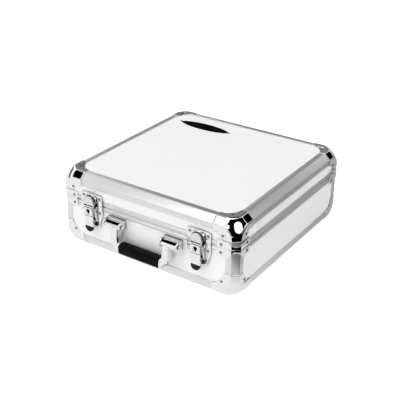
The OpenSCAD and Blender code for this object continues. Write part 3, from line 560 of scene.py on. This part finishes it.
def islands(node):
    """Groups a node's loose triangles into touching islands and yields each one's points."""
    built = bmesh.new()
    built.from_mesh(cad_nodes[node].data)
    bmesh.ops.remove_doubles(built, verts=built.verts, dist=1e-6)
    left = set(built.verts)
    while left:
        found, edge = [], [left.pop()]
        while edge:
            vert = edge.pop()
            found.append(vert.co[:])
            for e in vert.link_edges:
                other = e.other_vert(vert)
                if other in left:
                    left.remove(other)
                    edge.append(other)
        yield np.array(found) / MM
    built.free()


def dome(centre, out, radius, height, rows=7, columns=20):
    """A head: a flattened half ball on a short rim, its axis along out."""
    tilt = np.linspace(0, math.pi / 2, rows)[:, None]
    turn = np.linspace(0, 2 * math.pi, columns, endpoint=False)[None, :]
    side = np.roll(out, 1)
    other = np.cross(out, side)
    ring = radius * np.sin(tilt)[..., None] * (np.cos(turn)[..., None] * side
                                               + np.sin(turn)[..., None] * other)
    rise = height * (0.25 + 0.75 * np.cos(tilt))[..., None] * out
    cup = centre + ring + rise
    foot = centre + ring[-1:] - 0.2 * out
    return np.concatenate([cup, foot]), False, True


def rivet_domes(node):
    """One dome per rivet, facing away from the middle of the case. Its axis is the rivet's
    longest side if the rivet is longer than its head is wide, and else its shortest."""
    for points in islands(node):
        lo, hi = points.min(0), points.max(0)
        size, middle = hi - lo, (lo + hi) / 2
        axis = int(np.argmax(size)) if size.max() > head_w else int(np.argmin(size))
        out = np.zeros(3)
        out[axis] = 1.0 if middle[axis] > case_mid[axis] else -1.0
        tip = middle + out * size[axis] / 2
        yield dome(tip - out * head_h, out, head_r, head_h)


head_r, head_h, head_w = 2.6, 0.9, 5.6
case_mid = (0, 0, (base_z + top_z) / 2)
for shell in shells:
    node = f"{shell}_rivets"
    piece = make_piece(f"{shell}_rivet_heads", list(rivet_domes(node)), shell, rivet_metal, (node,))
    print(node, len(piece.data.polygons), "faces")

# %% [markdown]
# ## The handle
# Two cast arms hang on pins and carry a moulded grip. An arm is a bar carried along a path:
# straight down from the pivot, then round a bend to the grip. Its section starts as a rounded
# oblong and ends as the section of the grip, a square with well rounded corners, so the
# section's half widths and its squareness change along the way. The hub on each pin is as
# square, and turned so that one of its flat sides faces up and forwards.

# %% Arm surface
grip_lo, grip_hi = low("handle_grip"), high("handle_grip")
grip_r = (grip_hi[2] - grip_lo[2]) / 2
grip_mid = (grip_lo + grip_hi) / 2
pin_lo, pin_hi = low("handle_pins"), high("handle_pins")
pivot = (pin_lo + pin_hi) / 2
pivot[0] = grip_mid[0]
arm_end = low("handle_arm_right")[0] - grip_mid[0]
grip_power, arm_power = 3.2, 4
arm_half, arm_deep = 6.7, 8.8
hub_r, hub_power, hub_tilt = 7.0, 3.8, math.radians(117)
hub_reach, cheek = 12, 2.8
arm_points = np.concatenate(list(islands("handle_arm_right")))
below_hub = arm_points[arm_points[:, 2] < pivot[2] - hub_reach]
arm_x = below_hub[:, 0].max() - grip_mid[0] - arm_half - 0.1
bend_r = arm_x - arm_end - 0.3


def arm_path(count):
    """Points of the arm's middle line from pivot to grip: a straight drop, a quarter circle of
    bend_r, and a short straight into the collar. Gives the share of the way, x, z and turn."""
    drop = pivot[2] - grip_mid[2] - bend_r
    quarter = bend_r * math.pi / 2
    s = np.linspace(0, drop + quarter + arm_x - bend_r - arm_end, count)
    turn = np.clip((s - drop) / bend_r, 0, math.pi / 2)
    x = arm_x - bend_r * (1 - np.cos(turn)) - np.maximum(s - drop - quarter, 0)
    z = pivot[2] - np.minimum(s, drop) - bend_r * np.sin(turn)
    return s / s[-1], x, z, turn


def arm_surface(count=90, columns=64, swell_from=0.5, swell_to=0.92, deep_by=0.7, level_by=0.4):
    """The arm as a section carried along its path. The section is a superellipse. Between the
    shares swell_from and swell_to of the way its half width grows smoothly to the grip's and
    its exponent falls from arm_power, a rounded rectangle, to grip_power. Its half depth has
    grown to the grip's by deep_by, and its middle is level with the grip's by level_by."""
    t, x, z, turn = arm_path(count)
    around = np.linspace(0, 2 * math.pi, columns, endpoint=False)
    into = np.clip((t - swell_from) / (swell_to - swell_from), 0, 1)
    into = (into * into * (3 - 2 * into))[:, None]
    wide = arm_half + (grip_r - arm_half) * into
    deep = arm_deep + (grip_r - arm_deep) * np.clip(t / deep_by, 0, 1)[:, None]
    power = 2 / (arm_power + (grip_power - arm_power) * into)
    c, s = np.cos(around)[None, :], np.sin(around)[None, :]
    across = wide * np.sign(c) * np.abs(c) ** power
    depth = deep * np.sign(s) * np.abs(s) ** power
    middle_y = pivot[1] + (grip_mid[1] - pivot[1]) * np.clip(t / level_by, 0, 1)
    grid = np.stack([x[:, None] + across * np.cos(turn)[:, None],
                     middle_y[:, None] + depth,
                     z[:, None] + across * np.sin(turn)[:, None]], -1)
    return closed_ends(grid)


def closed_ends(grid):
    """Adds the middle point of the first and of the last row, so that a tube is closed."""
    first = np.repeat(grid[:1].mean(axis=1, keepdims=True), grid.shape[1], axis=1)
    last = np.repeat(grid[-1:].mean(axis=1, keepdims=True), grid.shape[1], axis=1)
    return np.concatenate([first, grid, last])


def turned_along_x(profile, centre, columns=48, power=2, tilt=0):
    """A profile of (x, radius) pairs turned about a line along X through centre. The radius is
    divided by (|cos u|^power + |sin u|^power)^(1/power), where u is the turn less tilt: 2 leaves
    a circle, more gives four flat sides, the first of them facing the direction of tilt."""
    profile = np.array(profile, float)
    turn = np.linspace(0, 2 * math.pi, columns, endpoint=False)[None, :]
    u = turn - tilt
    rim = (np.abs(np.cos(u)) ** power + np.abs(np.sin(u)) ** power) ** (1 / power)
    x = np.repeat(profile[:, :1], columns, axis=1)
    return np.stack([x + centre[0], centre[1] + profile[:, 1:] * np.cos(turn) / rim,
                     centre[2] + profile[:, 1:] * np.sin(turn) / rim], -1)


def rounded_roll(x0, x1, radius, edge, bulge=0.0, steps=6):
    """Profile of a roll from x0 to x1: closed flat ends, edges rounded by edge, and a slight
    bulge in the middle."""
    turn = np.linspace(0, math.pi / 2, steps)
    start = np.stack([x0 + edge * (1 - np.cos(turn)), radius - edge + edge * np.sin(turn)], -1)
    end = np.stack([x1 - edge * (1 - np.cos(turn)), radius - edge + edge * np.sin(turn)], -1)
    along = np.linspace(x0 + edge, x1 - edge, 22)[1:-1]
    swell = radius + bulge * np.sin(np.pi * (along - x0) / (x1 - x0))
    return np.concatenate([[[x0, 0]], start, np.stack([along, swell], -1), end[::-1], [[x1, 0]]])


for side, s in sides.items():
    arm = arm_surface() * (s, 1, 1) + (grip_mid[0], 0, 0)
    box_lo, box_hi = low(f"handle_bracket_{side}"), high(f"handle_bracket_{side}")
    mid, half = (box_lo[0] + box_hi[0]) / 2, (box_hi[0] - box_lo[0]) / 2 - cheek
    hub = turned_along_x(rounded_roll(-half, half, hub_r, 0.5), (mid, pivot[1], pivot[2]),
                         96, hub_power, hub_tilt)
    make_piece(f"handle_arm_{side}_cast", [(arm, False, True), (hub, False, True)], "handle",
               chrome, (f"handle_arm_{side}",))
print("arms hang at", round(arm_x, 1), "mm from the middle")

# %% Grip, collars and pins
half = (grip_hi[0] - grip_lo[0]) / 2
grip = turned_along_x(rounded_roll(-half, half, grip_r - 0.15, 0.8, 0.15), grip_mid, 96,
                      grip_power)
make_piece("handle_grip_moulded", [(grip, False, True)], "handle", grip_black, ("handle_grip",))

collar_out = high("handle_collars")[0] - grip_mid[0]
collar_r = (high("handle_collars")[2] - low("handle_collars")[2]) / 2
rings = []
for s in sides.values():
    roll = rounded_roll(half + 0.1, collar_out - 0.1, collar_r, 0.9)
    rings.append((turned_along_x(roll * (s, 1), grip_mid, 96, grip_power), False, True))
make_piece("handle_collars_turned", rings, "handle", chrome, ("handle_collars",))
softened("handle_pins", latch_chrome, 0.6, 3)
for side in sides:
    softened(f"handle_bracket_{side}", latch_chrome, 0.5, 3)
print("grip radius", round(grip_r, 2), "collar radius", round(collar_r, 2))

# %% [markdown]
# ## Latches
# A draw latch is three stampings: a plate, a folded lever and a hook. All are chromed sheet
# metal with rounded edges; the lever ends in a moulded black tip, and a lock sits in its face.

# %% Latches
for side in sides:
    softened(f"latch_plate_{side}", latch_chrome, 0.4)
    softened(f"latch_keeper_{side}", latch_chrome, 0.4)
    softened(f"latch_lever_{side}", latch_chrome, 0.5, 3)
    softened(f"latch_hook_{side}", hook_chrome, 0.4)
    softened(f"latch_tip_{side}", tip_black, 0.6, 3)
    softened(f"lock_cylinder_{side}", latch_chrome, 0.2)
print("two latches")

# %% [markdown]
# The lever's face carries a second, raised sheet round the lock, over a thin black sheet a
# little larger than it, which paints the shade of the gap as a dark line along its edges. Each is
# a ring between two outlines, the round of the lock and a rounded rectangle, so its grid runs
# round the lock in one direction and outwards in the other. The lock's keyway has a black drop
# over it, which stands for a dust shutter and paints the shade of the keyhole.

# %% Lock plates


def lock_axis(side):
    """The lock's x, its radius, the y of its face, and the z of its axis."""
    plug_lo, plug_hi = low(f"lock_cylinder_{side}"), high(f"lock_cylinder_{side}")
    lock_r = (plug_hi[0] - plug_lo[0]) / 2
    return plug_lo[0] + lock_r, lock_r, plug_lo[1], plug_hi[2] - lock_r


def lock_plate(side, half_z, profile, columns=72, gap=0.15, margin=0.4, power=12):
    """A sheet on the lever's face: rings of points between a circle, a gap outside the lock,
    and a superellipse, a margin narrower than the lever. The profile gives each ring's share of
    the way out from the circle and its height off the face; half_z is half the sheet's height."""
    mid_x, lock_r, _, mid_z = lock_axis(side)
    lever_lo, lever_hi = low(f"latch_lever_{side}"), high(f"latch_lever_{side}")
    face = lever_lo[1]
    half = np.array([(lever_hi[0] - lever_lo[0]) / 2 - margin, half_z])
    turn = np.linspace(0, 2 * math.pi, columns, endpoint=False)
    circle = np.stack([np.cos(turn), np.sin(turn)], -1)
    round_hole = (lock_r + gap) * circle
    wedge = (np.abs(circle) ** power).sum(axis=-1, keepdims=True) ** (1 / power)
    block = half * circle / wedge
    rows = []
    for share, out in profile:
        flat = round_hole + (block - round_hole) * share
        rows.append(np.stack([mid_x + flat[:, 0], np.full(columns, face + 0.02 - out),
                              mid_z + flat[:, 1]], -1))
    return np.array(rows), False, True


def keyway_shutter_shade(side, half_width=5.3, half_height=4.8, proud=0.12, columns=64):
    """The black cover of the keyway, which stands for a dust shutter and paints the shade of the
    keyhole, a drop that points down: x = half_width sin u sin(u/2)^1.5 and z = -half_height cos u,
    round the axis of the lock. It stands proud of the lock's face by that many millimetres and
    turns with it."""
    mid_x, _, face, mid_z = lock_axis(side)
    u = np.linspace(0, 2 * math.pi, columns, endpoint=False)
    drop_x = half_width * np.sin(u) * np.sin(u / 2) ** 1.5
    drop_z = -half_height * np.cos(u)
    rows = [np.stack([mid_x + share * drop_x, np.full(columns, face + back),
                      mid_z + share * drop_z], -1)
            for share, back in ((0, -proud), (0.94, -proud), (1, 0), (1, 0.5), (0, 0.5))]
    return np.array(rows), False, True


plate_profile = ((0, 0.2), (0, 0.55), (0.04, 0.7), (0.93, 0.7), (0.98, 0.62), (1, 0.4), (1, 0.2))
shadow_line_profile = ((0, 0), (0, 0.2), (1, 0.2), (1, 0))
plate_half, shadow_line_half = 7.6, 8.7
for side in sides:
    lever = f"{side}_lever"
    plate = lock_plate(side, plate_half, plate_profile)
    # painted shade: a black sheet a little larger than the plate shows as a dark line of shade
    # round it
    shadow_line = lock_plate(side, shadow_line_half, shadow_line_profile)
    make_piece(f"lock_plate_{side}", [plate], lever, latch_chrome)
    make_piece(f"lock_shadow_line_{side}", [shadow_line], lever, badge_black)
    # painted shade: the black drop darkens the keyhole, and also stands for the keyway's shutter
    make_piece(f"keyway_shutter_shade_{side}", [keyway_shutter_shade(side)], f"{side}_lock", badge_black)
print("lock plates, shadow_lines and keyway covers")

# %% [markdown]
# ## Badge
# The badge is a pointed oval of black plastic with a slightly domed top, held by a pin through
# a small tab at each end. It is a height over an oval: rings shrink towards the middle and rise
# as they do.

# %% Badge
badge_lo, badge_hi = low("badge_plate"), high("badge_plate")
badge_mid = (badge_lo + badge_hi) / 2
tab_l = 4.6
badge_half_l = (badge_hi[0] - badge_lo[0]) / 2 - tab_l
badge_half_w = (badge_hi[1] - badge_lo[1]) / 2


def oval(share, z, count=120):
    """A ring of the badge: x is a cosine, y a sine raised to the power 1.25, both shrunk to
    share."""
    turn = np.linspace(0, 2 * math.pi, count, endpoint=False)
    y = np.sign(np.sin(turn)) * np.abs(np.sin(turn)) ** 1.25
    return np.stack([badge_mid[0] + share * badge_half_l * np.cos(turn),
                     badge_mid[1] + share * badge_half_w * y, np.full(count, z)], -1)


rise = np.linspace(0, 1, 14)
rows = [oval(1, badge_lo[2] + 0.02), oval(1, badge_hi[2] - 0.45)]
rows += [oval(1 - r, badge_hi[2] - 0.4 + 0.4 * math.sin(r * math.pi / 2)) for r in rise ** 2]
badge = np.array([oval(0, badge_lo[2] + 0.02)] + rows)


def tab(side, columns=32):
    """A small tab under each end of the badge: a flat stadium, half as thick as the badge."""
    turn = np.linspace(0, 2 * math.pi, columns, endpoint=False)
    x = side * (badge_half_l - 1 + 2.6 * np.sign(np.cos(turn)) * np.abs(np.cos(turn)) ** 0.6)
    flat = np.stack([badge_mid[0] + x + side * 1.4, badge_mid[1] + 2.0 * np.sin(turn)], -1)
    levels = [(0, badge_lo[2] + 0.02), (1, badge_lo[2] + 0.02), (1, badge_lo[2] + 0.5),
              (0.85, badge_lo[2] + 0.62), (0, badge_lo[2] + 0.62)]
    middle = flat.mean(0)
    rings = [np.c_[middle + (flat - middle) * share, np.full(columns, z)] for share, z in levels]
    return np.array(rings), False, True


make_piece("badge_domed", [(badge, False, True), tab(-1), tab(1)], "lid", badge_black,
           ("badge_plate",))
softened("badge_pins", rivet_metal, 0.3)
print("badge", round(2 * badge_half_l), "x", round(2 * badge_half_w), "mm")

# %% [markdown]
# ## Lining
# The lid is lined with egg-crate foam: a pad whose face is a product of two sine waves. The
# floor and the walls are plain slabs with cut, slightly soft edges.

# %% Lining
case_corner = np.array([half_w, half_d, top_z])
cap_room = facet + 1
pad_from = 100


def slab(lo, hi, wave=0.0, pitch=26.0, step=2.0):
    """A block of foam as a height over a rectangle, its face looking down. The face is raised
    by wave times a product of two cosines, fading to flat along the rim; the back gives way
    under the facets of the corner caps."""
    x = np.linspace(lo[0], hi[0], int((hi[0] - lo[0]) / step) + 2)
    y = np.linspace(lo[1], hi[1], int((hi[1] - lo[1]) / step) + 2)
    x, y = np.meshgrid(x, y, indexing="ij")
    rim = np.minimum.reduce([x - lo[0], hi[0] - x, y - lo[1], hi[1] - y])
    ripple = 0.5 - 0.5 * np.cos(2 * np.pi * x / pitch) * np.cos(2 * np.pi * y / pitch)
    face_z = lo[2] + wave * ripple * np.clip(rim / 12, 0, 1)
    face = np.stack([x, y, face_z], -1)
    ring = np.concatenate([face[:, 0], face[-1, 1:], face[-2::-1, -1], face[0, -2:0:-1]])
    depth = np.abs(ring[:, 0]) - case_corner[0] + np.abs(ring[:, 1]) - case_corner[1]
    back = ring.copy()
    back[:, 2] = np.clip(case_corner[2] - cap_room - depth, ring[:, 2] + 0.2, hi[2])
    middle = np.repeat([[*((lo + hi) / 2)[:2], hi[2]]], len(ring), axis=0)
    return [(face, False, False), (np.stack([ring, back, middle]), False, True)]


lining = []
for points in islands("lid_foam"):
    lo, hi = points.min(0), points.max(0)
    is_pad = min(hi[0] - lo[0], hi[1] - lo[1]) > pad_from
    lining += slab(lo, hi, wave=6.0 if is_pad else 0.0)
make_piece("lid_lining", lining, "lid", foam, ("lid_foam",))
softened("base_foam", foam, 0.8)
print("lid lining of", len(lining), "sheets")

# %% [markdown]
# ## Feet, rims and what keeps its CAD shape
# The feet are turned rubber with a screw in a recess. The rims are extrusions like the edges,
# but one node holds all four sides, so each face gets the brushing of its own side. Panels and
# hidden pins are right as they are, and only get their finish.

# %% Feet, rims, panels and pins


def turned_feet(node, bend_r=1.2, hole_r=2.0, recess_r=4.2, recess_h=2.6, columns=48):
    """A foot for each island of the node: a profile of (radius, height) pairs turned about the
    vertical, with a rounded lower edge and a recess and a hole for the screw."""
    for points in islands(node):
        lo, hi = points.min(0), points.max(0)
        mid, r, h = (lo + hi) / 2, (hi[0] - lo[0]) / 2, hi[2] - lo[2]
        bend = np.linspace(0, math.pi / 2, 6)
        edge = [(r - 1 - bend_r + bend_r * math.cos(a), -h + bend_r - bend_r * math.sin(a))
                for a in bend]
        recess = [(recess_r + 0.4, -h), (recess_r, -h + 0.4), (recess_r, -h + recess_h),
                  (hole_r, -h + recess_h), (hole_r, 0)]
        profile = np.array([(hole_r, 0), (r, 0), (r - 0.4, -0.8)] + edge + recess)
        turn = np.linspace(0, 2 * math.pi, columns, endpoint=False)[None, :]
        radius = profile[:, :1]
        yield np.stack([mid[0] + radius * np.cos(turn), mid[1] + radius * np.sin(turn),
                        np.repeat(hi[2] + profile[:, 1:], columns, axis=1)], -1), False, True


make_piece("feet_turned", list(turned_feet("base_feet")), "base", rubber, ("base_feet",))
softened("foot_screws", steel, 0.2)

rim_w = 9
for shell in shells:
    rim = softened(f"{shell}_rim", aluminium_x, 0.25)
    rim.data.materials.append(aluminium_y)
    centres = np.zeros(len(rim.data.polygons) * 3)
    rim.data.polygons.foreach_get("center", centres)
    across = np.abs(centres.reshape(-1, 3)[:, 0]) / MM > half_w - rim_w
    rim.data.polygons.foreach_set("material_index", across.astype(np.int32))

for node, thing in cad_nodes.items():
    if thing.hide_render:
        continue
    finish = laminate if node.endswith("_panel") else steel
    for slot in thing.material_slots:
        slot.material = finish
    print("keeps its CAD shape:", node)

# %% [markdown]
# ## Studio
# The case stands on a wide white table. Chrome and brushed metal show what is around them, so
# the room matters as much as the lamps: a pale dome, a large soft box high in front, and dark
# gaps between them. The dome is a function of direction: it starts dark at the horizon and
# pales upwards, and each soft box or gap is a round patch that is blended over it, the later
# ones over the earlier. A patch has a direction, the angles in degrees where it is still whole
# and where it has faded out, and a brightness. Past the table's edge the camera sees a plain
# white backdrop.

# %% Dome with soft boxes and gaps
world = bpy.data.worlds.new("studio")
bpy.context.scene.world = world
world.use_nodes = True
sky = world.node_tree
sky.nodes.clear()
background = add(sky, "ShaderNodeBackground", Color=(1, 1, 1, 1))
world_out = sky.nodes.new("ShaderNodeOutputWorld")
link(sky, background.outputs["Background"], world_out.inputs["Surface"])
direction = sky.nodes.new("ShaderNodeTexCoord").outputs["Generated"]


def smooth_range(tree, value, low_end, high_end, to_low=0.0, to_high=1.0):
    """Maps a value from one range to another with a smooth start and end."""
    made = add(tree, "ShaderNodeMapRange")
    made.interpolation_type = "SMOOTHSTEP"
    for socket, number in zip(made.inputs[1:5], (low_end, high_end, to_low, to_high)):
        socket.default_value = number
    link(tree, value, made.inputs["Value"])
    return made.outputs["Result"]


def along(tree, vector, axis):
    """Dot product of a vector socket with a fixed axis."""
    made = tree.nodes.new("ShaderNodeVectorMath")
    made.operation = "DOT_PRODUCT"
    made.inputs[1].default_value = axis
    link(tree, vector, made.inputs[0])
    return made.outputs["Value"]


def patch_over(glow, towards, inner, outer, brightness):
    """Blends a round patch over the dome: full within inner degrees of a direction, none
    beyond outer."""
    near = smooth_range(sky, along(sky, direction, Vector(towards).normalized()),
                        math.cos(math.radians(outer)), math.cos(math.radians(inner)))
    blend = sky.nodes.new("ShaderNodeMix")
    blend.inputs["B"].default_value = brightness
    link(sky, near, blend.inputs["Factor"])
    link(sky, glow, blend.inputs["A"])
    return blend.outputs["Result"]


glow = smooth_range(sky, along(sky, direction, (0, 0, 1)), 0.08, 0.42, 0.14, 1.4)
patches = {
    "large soft box": ((-0.44, -0.58, 0.68), 34, 62, 1.22),
    "white wall in front": ((-0.50, -0.85, 0.12), 15, 35, 0.95),
    "pale wall at the right": ((0.80, 0.50, 0.30), 12, 25, 1.05),
    "overhead lamp": ((0.0, -0.15, 0.99), 16, 25, 4.3),
    "grey wall": ((-0.487, 0.76, 0.41), 12, 17, 0.25),
    "dark strip above it": ((-0.12, 0.68, 0.72), 17, 24, 0.1),
    "black strip over the front": ((-0.55, 0.10, 0.83), 14, 18, 0.0),
    "dark gap overhead": ((0.05, 0.36, 0.93), 11, 17, 0.02),
    "black card behind": ((0.44, 0.80, 0.40), 6, 9, 0.0),
    "black card at the right": ((0.57, 0.53, 0.60), 8, 13, 0.0),
    "black card above": ((0.66, 0.20, 0.72), 15, 22, 0.0),
    "black card in front": ((0.66, -0.40, 0.62), 32, 38, 0.0),
    "black card low in front": ((0.80, -0.52, 0.10), 22, 32, 0.0),
    "soft box by the camera": ((0.74, -0.24, 0.64), 11, 13, 2.4),
    "its lower half": ((0.80, -0.30, 0.52), 11, 13, 2.4),
    "small lamp": ((0.34, -0.66, 0.66), 6, 7.5, 2.4),
    "black card at the left": ((-0.65, -0.41, 0.64), 7, 9, 0.0),
}
for name, (towards, inner, outer, brightness) in patches.items():
    glow = patch_over(glow, towards, inner, outer, brightness)
    print(name, "at brightness", brightness)
backdrop = sky.nodes.new("ShaderNodeMix")
backdrop.inputs["B"].default_value = 1.0
link(sky, sky.nodes.new("ShaderNodeLightPath").outputs["Is Camera Ray"],
     backdrop.inputs["Factor"])
link(sky, glow, backdrop.inputs["A"])
link(sky, backdrop.outputs["Result"], background.inputs["Strength"])

# %% [markdown]
# The table is matt white and glows a little, more towards the camera, so that it stays white
# right up to the case. Polished metal sees it differently, through a switch on the kind of ray:
# it sees the case's shadow painted on the table, and black cards laid beside chrome to give its
# edges an outline. Four functions of the place on the table make it: grey is the painted shadow
# of the case, darkening towards the back right, dimmer takes a little off past the front right
# corner, black is a card further out that way, and beside ends that card towards the front left.

# %% Table


def combine(tree, operation, a, b):
    """A math node on two value sockets."""
    made = tree.nodes.new("ShaderNodeMath")
    made.operation = operation
    link(tree, a, made.inputs[0])
    link(tree, b, made.inputs[1])
    return made.outputs["Value"]


floor_mesh = bpy.data.meshes.new("floor")
floor_half = 6
corners = floor_half * np.array([(-1, -1, 0), (1, -1, 0), (1, 1, 0), (-1, 1, 0)])
corners = corners + (0, 0, floor_z * MM)
floor_mesh.from_pydata(corners, [], [(0, 1, 2, 3)])
floor = bpy.data.objects.new("floor", floor_mesh)
bpy.context.scene.collection.objects.link(floor)
paper, tree, shader = new_material("white_table", Base_Color=(0.92, 0.92, 0.92, 1), Roughness=0.9,
                                   Emission_Color=(1, 1, 1, 1))
rays = tree.nodes.new("ShaderNodeLightPath")
glow_on_case, glow_in_view = 0.22, 0.6
link(tree, smooth_range(tree, rays.outputs["Is Camera Ray"], 0, 1, glow_on_case, glow_in_view),
     shader.inputs["Emission Strength"])
spot = position(tree, (1, 1, 1))
# painted shadow: the case's shadow on the table, darker towards the back right, seen only by
# polished metal
grey = smooth_range(tree, along(tree, spot, (0.55, 0.83, 0)), -0.15, 0.3, 1.02, 0.45)
ahead = along(tree, spot, (0.95, -0.3, 0))
dimmer = smooth_range(tree, ahead, 0.275, 0.3, 1.0, 0.85)
black = smooth_range(tree, ahead, 0.345, 0.352, 1.0, 0.0)
beside = smooth_range(tree, along(tree, spot, (0.55, 0.84, 0)), -0.32, -0.28, 1.0, 0.0)
cards = combine(tree, "MULTIPLY", combine(tree, "MULTIPLY", grey, dimmer),
                combine(tree, "MAXIMUM", black, beside))
seen_in_metal = tree.nodes.new("ShaderNodeEmission")
link(tree, cards, seen_in_metal.inputs["Strength"])
either = tree.nodes.new("ShaderNodeMixShader")
link(tree, rays.outputs["Is Glossy Ray"], either.inputs["Fac"])
link(tree, shader.outputs["BSDF"], either.inputs[1])
link(tree, seen_in_metal.outputs["Emission"], either.inputs[2])
link(tree, either.outputs["Shader"], tree.nodes["Material Output"].inputs["Surface"])
paper.cycles.emission_sampling = "NONE"
floor_mesh.materials.append(paper)
bpy.context.scene.view_settings.view_transform = "Standard"
print("table at height", floor_z, "mm")
